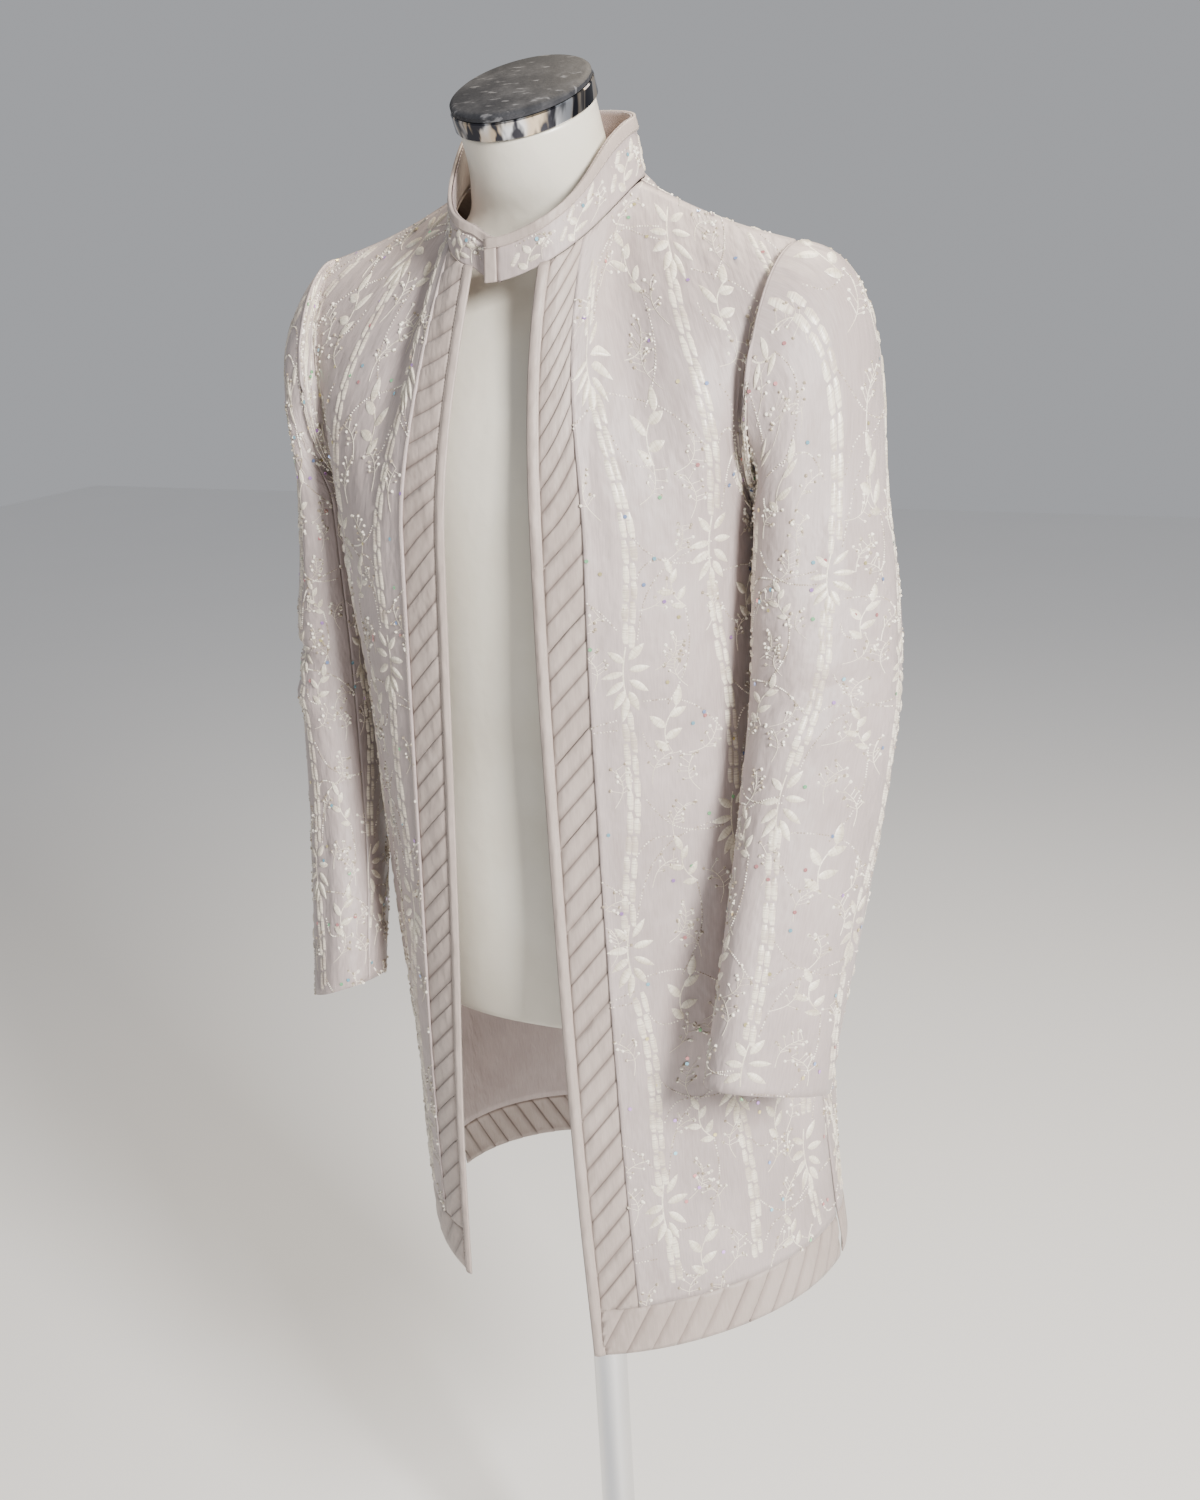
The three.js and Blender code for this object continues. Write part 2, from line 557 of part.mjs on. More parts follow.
// Round pieces on the tilted neck: each is a profile turned about the neck's own axis.
function onNeck(name, profile, material, lift) {
  const geometry = new THREE.LatheGeometry(profile.map(([r, y]) => new THREE.Vector2(r, y)), FACETS.form);
  geometry.rotateX(Math.PI / 2);
  const mesh = new THREE.Mesh(geometry, material);
  const neckTop = FORM.at(-1);
  mesh.name = name;
  mesh.rotation.x = neckTilt;
  mesh.position.set(0, neckTop.y, neckTop.z).addScaledVector(neckUp, lift);
  coat.add(mesh);
}
onNeck('form_neck_ring', [[0, 0], [NECK_RING.radius, 0], [NECK_RING.radius, NECK_RING.height],
  [0, NECK_RING.height]], CHROME, SEAM);
onNeck('form_neck_cap', [[0, 0], [CAP.radius, 0], [CAP.radius, 3], [CAP.radius - 3, CAP.height],
  [0, CAP.height]], BLACK, NECK_RING.height + 2 * SEAM);

function turned(name, profile, material) {
  const geometry = new THREE.LatheGeometry(profile.map(([r, z]) => new THREE.Vector2(r, z)), FACETS.form);
  geometry.rotateX(Math.PI / 2);
  add(name, geometry, material);
}
turned('form_base', [[0, 0], [BASE.radius, 0], [BASE.radius, BASE.height - 4],
  [BASE.radius - 5, BASE.height], [0, BASE.height]], CHROME);
turned('form_pole', [[0, BASE.height + SEAM], [POLE.collarRadius, BASE.height + SEAM],
  [POLE.collarRadius, BASE.height + POLE.collarHeight], [POLE.radius, BASE.height + POLE.collarHeight + 6],
  [POLE.radius, FORM[0].z - SEAM], [0, FORM[0].z - SEAM]], CHROME);

export default coat;
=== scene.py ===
import bmesh
import bpy
import math
import random
from mathutils import Matrix, Quaternion, Vector
from mathutils.bvhtree import BVHTree
from mathutils.interpolate import poly_3d_calc


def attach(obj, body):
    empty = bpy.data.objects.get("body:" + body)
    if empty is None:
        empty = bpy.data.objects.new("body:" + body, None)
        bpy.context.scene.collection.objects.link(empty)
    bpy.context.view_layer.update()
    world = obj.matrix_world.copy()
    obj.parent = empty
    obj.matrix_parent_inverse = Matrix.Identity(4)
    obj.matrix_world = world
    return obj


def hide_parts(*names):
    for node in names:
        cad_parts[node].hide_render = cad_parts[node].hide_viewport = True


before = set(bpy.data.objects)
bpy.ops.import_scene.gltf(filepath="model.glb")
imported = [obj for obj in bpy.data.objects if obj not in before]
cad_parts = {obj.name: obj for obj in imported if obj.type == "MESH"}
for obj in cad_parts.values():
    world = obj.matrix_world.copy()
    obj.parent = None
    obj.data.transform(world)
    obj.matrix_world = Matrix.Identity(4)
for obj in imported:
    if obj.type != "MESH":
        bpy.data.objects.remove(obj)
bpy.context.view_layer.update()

# ---- camera
# A camera on the wearer's left, just above the shoulders. It looks down a little at the waist and leans
# by three degrees.
camera_aim = Vector((0.0356, -0.0217, 1.0292))
camera_distance = 1.576
camera_azimuth = math.radians(28.0)
camera_elevation = math.radians(16.6)
camera_roll = math.radians(-3.07)
camera_away = Vector((math.sin(camera_azimuth) * math.cos(camera_elevation),
                      -math.cos(camera_azimuth) * math.cos(camera_elevation),
                      math.sin(camera_elevation)))
camera_data = bpy.data.cameras.new("camera")
camera_data.sensor_width = 36.0
camera_data.lens = 44.4
camera_data.clip_start = 0.05
camera = bpy.data.objects.new("camera", camera_data)
camera.location = camera_aim + camera_away * camera_distance
camera.rotation_mode = "QUATERNION"
camera.rotation_quaternion = (-camera_away).to_track_quat("-Z", "Y") @ Quaternion((0, 0, 1), camera_roll)
bpy.context.scene.collection.objects.link(camera)
bpy.context.scene.camera = camera

# ---- studio
# A pale matt floor under a grey-white room. A large soft light stands on the wearer's left, a weak one
# in front and a warm one above and behind.


class Socket:
    """A node's output, so that shader maths reads as an expression."""

    def __init__(self, finish, link):
        self.finish = finish
        self.link = link

    def maths(self, operation, other):
        return self.finish.output(0, "ShaderNodeMath", {"operation": operation}, {0: self, 1: other})

    def __add__(self, other):
        return self.maths("ADD", other)

    def __mul__(self, other):
        return self.maths("MULTIPLY", other)

    __radd__ = __add__
    __rmul__ = __mul__

    def between(self, low, high):
        """0 at low, 1 at high and smooth between them."""
        return self.finish.output("Result", "ShaderNodeMapRange", {"interpolation_type": "SMOOTHSTEP"},
                                  {"Value": self, "From Min": low, "From Max": high})


class Finish:
    """A material: its nodes and its Principled shader."""

    def __init__(self, name, colour, roughness, **constants):
        self.material = bpy.data.materials.new(name)
        self.material.use_nodes = True
        self.nodes = self.material.node_tree.nodes
        self.links = self.material.node_tree.links
        self.shader = self.nodes["Principled BSDF"]
        self.set("Base Color", colour)
        self.set("Roughness", roughness)
        for socket, value in constants.items():
            self.set(socket.replace("_", " ").title().replace("Ior", "IOR"), value)

    def output(self, which, kind, settings=None, inputs=None):
        """Makes a node of a kind, its settings first, and gives one of its outputs."""
        node = self.nodes.new(kind)
        for key, value in (settings or {}).items():
            setattr(node, key, value)
        for key, value in (inputs or {}).items():
            self.feed(node.inputs[key], value)
        return Socket(self, node.outputs[which])

    def feed(self, socket, value):
        if isinstance(value, Socket):
            self.links.new(value.link, socket)
        elif isinstance(value, tuple) and socket.type == "RGBA":
            socket.default_value = (*value, 1.0)
        else:
            socket.default_value = value

    def set(self, name, value):
        self.feed(self.shader.inputs[name], value)

    def place(self):
        """Where a point is on the object, in metres."""
        return self.output("Object", "ShaderNodeTexCoord")

    def cloth_place(self):
        """Where a point is on the flat cloth, in metres."""
        return self.output("UV", "ShaderNodeUVMap", {"uv_map": "cloth"})

    def attribute(self, name):
        return self.output("Fac", "ShaderNodeAttribute", {"attribute_name": name})

    def noise(self, place, scale, detail=2.0, rough=0.5, turn=0.0):
        """Noise, stretched and turned where the scale is three numbers."""
        if isinstance(scale, tuple):
            place = self.output("Vector", "ShaderNodeMapping", None,
                                {"Vector": place, "Scale": scale, "Rotation": (0.0, 0.0, turn)})
            scale = 1.0
        return self.output("Fac", "ShaderNodeTexNoise", None,
                           {"Vector": place, "Scale": scale, "Detail": detail, "Roughness": rough})

    def threads(self, place, across, spacing):
        """Ridges along one direction, a spacing apart in metres."""
        return self.output("Fac", "ShaderNodeTexWave", {"bands_direction": across},
                           {"Vector": place, "Scale": math.tau / (20.0 * spacing)})

    def mix(self, factor, low, high):
        return self.output(2, "ShaderNodeMix", {"data_type": "RGBA"}, {0: factor, 6: low, 7: high})

    def tinted(self, factor, low, high):
        """Colours the surface between two colours."""
        self.colour = self.mix(factor, low, high)
        self.set("Base Color", self.colour)

    def relief(self, height, distance):
        """Feeds a height, in shares of a distance in metres, to the surface's normal."""
        self.set("Normal", self.output("Normal", "ShaderNodeBump", None,
                                       {"Height": height, "Distance": distance, "Strength": 1.0}))


def grid(across, along):
    """A square of cells about the origin, one metre wide, to be laid in its place."""
    bm = bmesh.new()
    bmesh.ops.create_grid(bm, x_segments=across, y_segments=along, size=0.5)
    return bm


def as_mesh(name, bm):
    mesh = bpy.data.meshes.new(name)
    bm.to_mesh(mesh)
    bm.free()
    return mesh


def shown(name, bm, finish):
    """Puts a shape in the scene at the origin, with its finish."""
    mesh = as_mesh(name, bm)
    mesh.materials.append(finish.material)
    for face in mesh.polygons:
        face.use_smooth = True
    piece = bpy.data.objects.new(name, mesh)
    bpy.context.scene.collection.objects.link(piece)
    return piece


floor_size = 14.0
floor_finish = Finish("pale_floor", (0.86, 0.855, 0.85), 0.6)
floor_finish.tinted(floor_finish.noise(floor_finish.place(), 1.5), (0.84, 0.835, 0.83), (0.87, 0.865, 0.86))
floor = grid(2, 2)
bmesh.ops.scale(floor, verts=floor.verts[:], vec=(floor_size, floor_size, 1.0))
shown("floor", floor, floor_finish)

world = bpy.data.worlds.new("studio")
world.use_nodes = True
room_light = world.node_tree.nodes["Background"].inputs
room_light["Color"].default_value = (0.93, 0.95, 1.0, 1.0)
room_light["Strength"].default_value = 0.43
bpy.context.scene.world = world


def soft_light(name, place, aim, size, power, colour):
    light = bpy.data.lights.new(name, "AREA")
    light.shape = "RECTANGLE"
    light.size, light.size_y = size
    light.energy = power
    light.color = colour
    lamp = bpy.data.objects.new(name, light)
    lamp.location = place
    lamp.rotation_euler = (Vector(aim) - Vector(place)).to_track_quat("-Z", "Y").to_euler()
    bpy.context.scene.collection.objects.link(lamp)


soft_light("key", (2.3, -1.5, 2.3), (0.0, 0.0, 1.15), (0.6, 0.8), 235.0, (1.0, 0.97, 0.93))
soft_light("front", (0.3, -3.0, 2.2), (0.0, 0.0, 1.1), (1.8, 1.2), 6.0, (1.0, 0.97, 0.94))
soft_light("top", (0.3, 0.9, 3.0), (0.0, 0.0, 1.3), (1.2, 0.9), 70.0, (1.0, 0.86, 0.66))

# ---- fronts
# Two long fronts of pale silk blend, embroidered all over, cut from the neckline and shoulder to the
# hem. Each one's folded edge is topstitched over the tucked band beside it.

side_name = {1: "left", -1: "right"}
side_column = {1: 1, -1: 2}
chest_height = 1.225
chest_share = 0.72
side_angle = math.radians(92)
edge_width = 0.01
band_width = 0.034
hem_band_height = 0.04
hem_height = 0.56
cloth_thickness = 0.0018

# Rings of the coat: height, swing to the wearer's left, half width left and right, depth at the left
# front, the right front and the back, and how square the ring is.
rings = [
    (0.548, 0.022, 0.218, 0.173, 0.19, 0.16, 0.142, 2.05),
    (0.7, 0.018, 0.206, 0.18, 0.176, 0.15, 0.14, 2.1),
    (0.88, 0.01, 0.196, 0.184, 0.16, 0.144, 0.136, 2.2),
    (1.06, 0.003, 0.186, 0.182, 0.146, 0.14, 0.124, 2.3),
    (1.225, 0.0, 0.186, 0.186, 0.146, 0.142, 0.126, 2.35),
]
# The front edges: height, and distance from the centre line, left and right.
front_edges = [
    (0.548, 0.085, 0.058),
    (0.7, 0.071, 0.057),
    (0.88, 0.058, 0.046),
    (1.08, 0.048, 0.037),
    (1.31, 0.049, 0.024),
    (1.44, 0.038, 0.02),
]
# The hem: 0 at the front edge, 1 at the side seam, 2 at the centre of the back; height left and right.
hem_line = [(0.0, 0.548, 0.568), (0.5, 0.566, 0.578), (1.0, 0.574, 0.58), (2.0, 0.577, 0.577)]

neck_point = Vector((0.08, 0.014, 1.491))
shoulder_tip = Vector((0.212, 0.012, 1.441))
underarm = Vector((0.192, 0.004, 1.262))
front_neck_y, front_neck_z = -0.084, 1.434
armhole_forward, shoulder_dip = 0.08, 0.005
top_fullness, slope_step = 1.05, 0.004
front_neck_end, front_shoulder_end = 0.2, 0.66


def blend(low, high, share):
    return low + (high - low) * share


def ease(share):
    share = min(max(share, 0.0), 1.0)
    return share * share * (3 - 2 * share)


def curve(start, leave, end, arrive, t):
    """A smooth curve between two values or points, with the slope at each."""
    return ((2 * t ** 3 - 3 * t * t + 1) * start + (t ** 3 - 2 * t * t + t) * leave
            + (3 * t * t - 2 * t ** 3) * end + (t ** 3 - t * t) * arrive)


def read(table, at, place):
    """A smooth curve through one column of a table whose first column is at."""
    last = len(table) - 2
    row = 0
    while row < last and at > table[row + 1][0]:
        row += 1
    low, high = table[row], table[row + 1]
    before, after = table[max(row - 1, 0)], table[min(row + 2, last + 1)]
    span = high[0] - low[0]
    share = min(max((at - low[0]) / span, 0.0), 1.0)
    leave = (high[place] - before[place]) / (high[0] - before[0]) * span
    arrive = (after[place] - low[place]) / (after[0] - low[0]) * span
    return curve(low[place], leave, high[place], arrive, share)


def squared(value, power):
    return math.copysign(abs(value) ** (2 / power), value)


def ring_point(height, angle, side):
    """A point on a ring; side is 1 on the wearer's left and -1 on the right."""
    swing, left, right, ahead_left, ahead_right, behind, power = [
        read(rings, height, column) for column in range(1, 8)]
    wide = left if side > 0 else right
    deep = behind if math.cos(angle) <= 0 else ahead_left if side > 0 else ahead_right
    return Vector((wide * squared(math.sin(angle), power) + swing * side,
                   -deep * squared(math.cos(angle), power), height))


def edge_angle(height, side):
    across = read(front_edges, height, side_column[side]) - read(rings, height, 1) * side
    share = abs(across) / read(rings, height, 2 if side > 0 else 3)
    return math.asin(share ** (read(rings, height, 7) / 2))


def shoulder_seam(share):
    point = neck_point.lerp(shoulder_tip, share)
    point.z -= shoulder_dip * math.sin(math.pi * share)
    return point


def armhole(share, scoop):
    point = shoulder_tip.lerp(underarm, share)
    point.y -= scoop * math.sin(math.pi * share ** 1.15) ** 0.85
    point.z = blend(shoulder_tip.z, underarm.z, 0.5 - 0.5 * math.cos(math.pi * share))
    return point


def front_top(u, side):
    """The top edge of a front: neckline, shoulder seam, then armhole."""
    if u < front_neck_end:
        angle = u / front_neck_end * math.pi / 2
        start = front_edges[-1][side_column[side]]
        return Vector((blend(start, neck_point.x, math.sin(angle)),
                       blend(neck_point.y, front_neck_y, max(math.cos(angle), 0.0) ** 1.3),
                       blend(neck_point.z, front_neck_z, max(math.cos(angle), 0.0) ** 1.5)))
    if u < front_shoulder_end:
        return shoulder_seam((u - front_neck_end) / (front_shoulder_end - front_neck_end))
    return armhole((u - front_shoulder_end) / (1 - front_shoulder_end), armhole_forward)


front_top_ways = [(0.0, (0, 0.42, 0.9)), (0.2, (0, 0.8, 0.6)), (0.63, (0, 0.93, 0.36)),
                  (0.76, (0.02, 0.35, 0.93)), (1.0, (0, 0, 1))]


def way_at(ways, u):
    """The direction in which the cloth meets its top edge."""
    row = 0
    while row < len(ways) - 2 and u > ways[row + 1][0]:
        row += 1
    share = ease((u - ways[row][0]) / (ways[row + 1][0] - ways[row][0]))
    return Vector(ways[row][1]).lerp(Vector(ways[row + 1][1]), share).normalized()


def cloth_column(ring_at, hem, top, top_way, v):
    """One column of cloth, from the hem at v = 0 over the chest to the top edge at v = 1."""
    if v <= chest_share:
        return ring_at(blend(hem, chest_height, v / chest_share))
    start = ring_at(chest_height)
    reach = (top - start).length
    leave = (start - ring_at(chest_height - slope_step)).normalized() * reach
    share = (v - chest_share) / (1 - chest_share)
    return curve(start, leave, top, top_way * reach * top_fullness, share)


def mirrored(point, side):
    return Vector((point.x * side, point.y, point.z))


def front_point(u, v, side):
    def ring_at(height):
        return ring_point(height, blend(edge_angle(height, side), side_angle, u), side)
    hem = read(hem_line, u, side_column[side])
    return mirrored(cloth_column(ring_at, hem, front_top(u, side), way_at(front_top_ways, u), v), side)


front_rows = {}


def front_row(v, side):
    """One row of a front as points and their distances from the front edge."""
    key = (round(v, 5), side)
    if key not in front_rows:
        steps = 70
        points = [front_point(step / steps, v, side) for step in range(steps + 1)]
        lengths = [0.0]
        for first, second in zip(points, points[1:]):
            lengths.append(lengths[-1] + (second - first).length)
        front_rows[key] = points, lengths
    return front_rows[key]


def walk_front(distance, v, side):
    """The point of a front at a distance from its front edge, in metres."""
    points, lengths = front_row(v, side)
    step = 1
    while step < len(lengths) - 1 and lengths[step] < distance:
        step += 1
    share = (distance - lengths[step - 1]) / (lengths[step] - lengths[step - 1])
    return points[step - 1].lerp(points[step], share)


lower_length, upper_length = chest_height - hem_height, 0.245


def share_at(up):
    """The share of a column's height at a length of cloth above the hem, in metres."""
    if up < lower_length:
        return up / lower_length * chest_share
    return min(chest_share + (up - lower_length) / upper_length * (1 - chest_share), 1.0)


def length_at(v):
    if v < chest_share:
        return v / chest_share * lower_length
    return lower_length + (v - chest_share) / (1 - chest_share) * upper_length


cloth_height = length_at(1.0)
hem_share = share_at(hem_band_height)


def crease_lift(crease, here):
    """How far a crease moves the cloth. It has two ends on the flat cloth, a width and a depth."""
    start, end = Vector(crease[:2]), Vector(crease[2:4])
    width, depth = crease[4:]
    run = end - start
    share = (here - start).dot(run) / run.length_squared
    nearest = start + run * min(max(share, 0.0), 1.0)
    fade = math.sin(math.pi * min(max(share, 0.02), 0.98)) ** 0.6
    return depth * fade * math.exp(-((here - nearest).length / width) ** 2)


class Laid:
    """Cloth as it is laid: says where a place on the flat cloth has come to."""

    off_edge = 0.0004

    def __init__(self, bm, flats):
        bm.normal_update()
        bm.verts.index_update()
        self.points = [vert.co.copy() for vert in bm.verts]
        self.normals = [vert.normal.copy() for vert in bm.verts]
        self.flats = [flats[vert].to_3d() for vert in bm.verts]
        self.faces = [[vert.index for vert in face.verts] for face in bm.faces]
        self.tree = BVHTree.FromPolygons(self.flats, self.faces)
        first, second, third = [self.flats[corner] for corner in self.faces[len(self.faces) // 2][:3]]
        self.handed = math.copysign(1.0, (second - first).cross(third - second).z)
        self.low = Vector([min(flat[axis] for flat in self.flats) for axis in (0, 1)])
        self.high = Vector([max(flat[axis] for flat in self.flats) for axis in (0, 1)])

    def find(self, across, up):
        """The point and normal at a place on the flat cloth, or None off its edge."""
        nearest, _, face, away = self.tree.find_nearest(Vector((across, up, 0.0)))
        if away > self.off_edge:
            return None
        corners = self.faces[face]
        weights = poly_3d_calc([self.flats[corner] for corner in corners], nearest)
        point, normal = [sum((each[corner] * weight for corner, weight in zip(corners, weights)), Vector())
                         for each in (self.points, self.normals)]
        return point, normal.normalized()


def body_axis(height):
    return Vector((0.0, -0.005, height))


seam_reach, hem_reach, fold_width = 0.12, 0.1, 0.01


def lay_cloth(name, bm, surface, flat_place, finish, creases=(), thickness=cloth_thickness, axis=body_axis,
              settles=False, lifts=None):
    """A thin shell of cloth: a grid laid on a surface, creased, then given its thickness inwards."""
    layer = bm.loops.layers.uv.new("cloth")
    flats, from_seam = {}, {}
    for vert in bm.verts:
        u, v = vert.co.x + 0.5, vert.co.y + 0.5
        from_seam[vert] = min(u, 1 - u)
        flats[vert] = Vector(flat_place(u, v))
        vert.co = surface(u, v)
    bm.normal_update()
    middles = [face.calc_center_median() for face in bm.faces]
    if sum(face.normal.dot(middle - axis(middle.z)) for face, middle in zip(bm.faces, middles)) < 0:
        bmesh.ops.reverse_faces(bm, faces=bm.faces)
        bm.normal_update()
    normals = {vert: vert.normal.copy() for vert in bm.verts}
    for vert, normal in normals.items():
        flat = flats[vert]
        held = ease(from_seam[vert] / seam_reach)
        if settles:
            held *= ease((flat.y - hem_band_height) / hem_reach)
        lift = lifts[vert] if lifts else 0.0
        for crease in creases:
            lift += crease_lift(crease, flat) * (held if crease[4] > fold_width else 1.0)
        vert.co += normal * lift
    for face in bm.faces:
        for loop in face.loops:
            loop[layer].uv = flats[loop.vert]
    laid = Laid(bm, flats)
    piece = shown(name, bm, finish)
    wall = piece.modifiers.new("thickness", "SOLIDIFY")
    wall.thickness = thickness
    wall.offset = -1.0
    return piece, laid


def fixed(piece, node, slot):
    """Stands a piece on the form in the place of its solid."""
    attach(piece, "root")
    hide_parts(node)


def silk(name, light, shade):
    """Pale silk blend: fine even weave, faint slubs, and the small puckers that stitching leaves."""
    cloth = Finish(name, light, 0.42, sheen_weight=0.14, sheen_roughness=0.35, specular_ior_level=0.45)
    cloth.set("Sheen Tint", (1.0, 0.97, 0.93))
    place = cloth.cloth_place()
    weave = cloth.threads(place, "X", 0.0007) + cloth.threads(place, "Y", 0.0007)
    slubs = cloth.noise(place, (900.0, 60.0, 1.0))
    blotches = cloth.noise(place, 9.0, 3.0, 0.55)
    puckers = cloth.noise(place, (70.0, 38.5, 70.0))
    cloth.tinted(blotches.between(0.35, 0.68) * 0.6 + slubs.between(0.3, 0.7) * 0.4, shade, light)
    cloth.set("Roughness", blotches * 0.12 + slubs * 0.08 + 0.34)
    cloth.relief(weave * 0.05 + slubs * 0.2 + puckers * 4.5, 0.0006)
    return cloth


embroidered_silk = silk("embroidered_silk", (0.49, 0.415, 0.4), (0.37, 0.306, 0.292))
slit_top, slit_open, seam_gap = 0.77, 0.004, 0.0003


def slit_back(v):
    """How far a side seam stands back: nothing at the seam, more down the slit."""
    height = blend(hem_height, chest_height, min(v / chest_share, 1.0))
    return seam_gap + slit_open * min(max((slit_top - height) / (slit_top - hem_height), 0.0), 1.0)


# Each crease: where it starts and ends on the flat cloth, across and up, then its width and depth.
front_creases = {
    1: [(0.105, 0.905, 0.098, 0.7, 0.022, -0.00725), (0.15, 0.86, 0.15, 0.64, 0.026, 0.00435),
        (0.215, 0.8, 0.235, 0.6, 0.02, -0.006525), (0.15, 0.56, 0.165, 0.25, 0.03, 0.005075),
        (0.105, 0.52, 0.095, 0.06, 0.026, -0.006525),
        (0.2, 0.42, 0.215, 0.0, 0.022, -0.0087),
        (0.25, 0.52, 0.265, 0.05, 0.02, 0.006525)],
    -1: [(0.1, 0.9, 0.09, 0.68, 0.02, -0.00725),
         (0.165, 0.8, 0.15, 0.56, 0.022, 0.005075),
         (0.12, 0.56, 0.105, 0.1, 0.026, -0.006525),
         (0.19, 0.5, 0.205, 0.02, 0.022, 0.0058)],
}
band_edge = edge_width + band_width
band_lap, fold_proud = 0.0016, 0.00232
front_creep = 1.05
fronts = {}
for side, name in side_name.items():
    def front_surface(u, v):
        height = blend(hem_share, 1.0, v)
        total = front_row(height, side)[1][-1] - slit_back(height)
        return walk_front(blend(band_edge - band_lap, total, u ** front_creep), height, side)

    def front_flat(u, v):
        height = blend(hem_share, 1.0, v)
        return blend(band_edge, front_row(height, side)[1][-1], u ** front_creep), length_at(height)

    folded = (band_edge, 0.0, band_edge, cloth_height, 0.005, fold_proud)
    fronts[side] = lay_cloth(f"front_cloth_{name}", grid(64, 150), front_surface, front_flat,
                             embroidered_silk, [folded, *front_creases[side]], settles=True)
    fixed(fronts[side][0], f"front_{name}", "embroidered_cloth")

# ---- tucked bands
# Bands of plain silk pleated into slanting pressed tucks about 22 mm apart. One is sewn beside each
# front's edge strip, and one goes round the hem of each panel. Each tuck stands a little proud, and
# painted shade darkens the foot of its drop.

tuck_spacing = 0.022
# One tuck: share of its spacing, how far it stands, and how much painted shade darkens it.
tuck_profile = [(0.0, 0.0, 1.0), (0.06, 0.1, 0.45), (0.3, 0.55, 0.0), (0.62, 0.92, 0.0), (0.88, 1.0, 0.0),
                (0.97, 0.85, 0.15)]
tuck_depth, tuck_thickness = 0.0015, 0.0011
flat_edge, shade_fade_edge = 0.16, 0.1
plain_light, plain_shade, painted_tuck_shadow = (0.44, 0.368, 0.332), (0.36, 0.295, 0.262), (0.17, 0.13, 0.115)
tucked_silk = silk("tucked_silk", plain_light, plain_shade)
# Painted shade: the colour darkens towards a dark brown along each tuck's drop, where it would lie in
# shadow.
tucked_silk.tinted(tucked_silk.attribute("painted_tuck_shade"), tucked_silk.colour, painted_tuck_shadow)


def tucked_band(name, surface, size, rise, lengthways):
    """A band of slanting tucks. size is its width and length; rise is the slant over the full width."""
    width, length = size
    chance = random.Random(name)
    count = int((length + abs(rise)) / tuck_spacing) + 2
    rows = []
    for tuck in range(-1, count):
        shift = chance.uniform(-0.0012, 0.0012)
        for share, height, shade in tuck_profile:
            wide = share if share == 0.0 else share + chance.uniform(-0.01, 0.01)
            rows.append(((tuck + wide) * tuck_spacing + shift - max(rise, 0.0), height, shade))
    bm = grid(10, len(rows) - 1)
    height_layer = bm.verts.layers.float.new("height")
    tuck_shade_layer = bm.verts.layers.float.new("painted_tuck_shade")
    for vert in bm.verts:
        across = vert.co.x + 0.5
        at, height, shade = rows[round((vert.co.y + 0.5) * (len(rows) - 1))]
        pressed = min(across, 1 - across)
        vert.co = (across * width, at + rise * across, 0.0)
        vert[height_layer] = height * ease(pressed / flat_edge) * tuck_depth
        # Painted shade at each tuck's drop, a little weaker near the band's edges.
        vert[tuck_shade_layer] = shade * blend(0.6, 1.0, ease(pressed / shade_fade_edge))
    for plane, way in ((0.0, 1.0), (length, -1.0)):
        bmesh.ops.bisect_plane(bm, geom=bm.verts[:] + bm.edges[:] + bm.faces[:], plane_co=(0.0, plane, 0.0),
                               plane_no=(0.0, way, 0.0), clear_inner=True)
    lifts = {vert: vert[height_layer] for vert in bm.verts}
    for vert in bm.verts:
        vert.co = (vert.co.x / width - 0.5, vert.co.y / length - 0.5, 0.0)

    def place(u, v):
        return surface(u, v) if lengthways else surface(v, u)

    def flat(u, v):
        return (u * width, v * length) if lengthways else (v * length, u * width)
    return lay_cloth(name, bm, place, flat, tucked_silk, thickness=tuck_thickness, lifts=lifts)


def seated(surface):
    """A surface moved in a little, so that the band lies under the cloth it is sewn to."""
    def lower(u, v):
        point = surface(u, v)
        return point - Vector((point.x * 0.5, point.y, 0.0)).normalized() * band_sink
    return lower


band_sink, band_tuck_in = 0.0006, 0.001
band_rise, hem_rise = 0.037, 0.026
bands = {}
for side, name in side_name.items():
    def band_surface(u, v):
        across = edge_width - band_tuck_in + u * (band_width + 2 * band_tuck_in)
        return walk_front(across, blend(hem_share, 1.0, v), side)

    bands[side] = tucked_band(f"tucked_band_cloth_{name}", seated(band_surface),
                              (band_width, cloth_height - hem_band_height), band_rise * side, True)[0]
    fixed(bands[side], f"tucked_band_{name}", "tucked_cloth")

    def hem_surface(u, v):
        height = v * hem_share
        total = front_row(height, side)[1][-1] - slit_back(height)
        return walk_front(blend(edge_width - band_tuck_in, total, u), height, side)

    hem_length = front_row(hem_share / 2, side)[1][-1] - edge_width
    front_hem = tucked_band(f"hem_band_cloth_{name}", seated(hem_surface), (hem_band_height, hem_length),
                            hem_rise * side, False)[0]
    fixed(front_hem, f"hem_band_front_{name}", "tucked_cloth")

# ---- edge strips
# A plain strip of the same silk, folded in four and topstitched, runs down each front edge from the
# neck to the hem.

plain_silk = silk("plain_silk", plain_light, plain_shade)
# The strip's rounded face, the groove at its inner edge, and the pinch where the hem band meets it.
strip_folds = [(0.0045, -0.3, 0.0045, cloth_height + 0.3, 0.0038, 0.002465),
               (edge_width, -0.3, edge_width, cloth_height + 0.3, 0.0012, -0.001015),
               (-0.002, hem_band_height, 0.012, hem_band_height, 0.0014, -0.00145)]
strips = {}
for side, name in side_name.items():
    strips[side] = lay_cloth(f"edge_strip_cloth_{name}", grid(8, 220),
                             lambda u, v: walk_front(u * edge_width, v, side),
                             lambda u, v: (u * edge_width, length_at(v)), plain_silk, strip_folds)
    fixed(strips[side][0], f"edge_strip_{name}", "binding")

# ---- back
# One wide back of embroidered silk, sewn to the fronts at the shoulders and down the sides to the top
# of the slits. A tucked band finishes its hem.

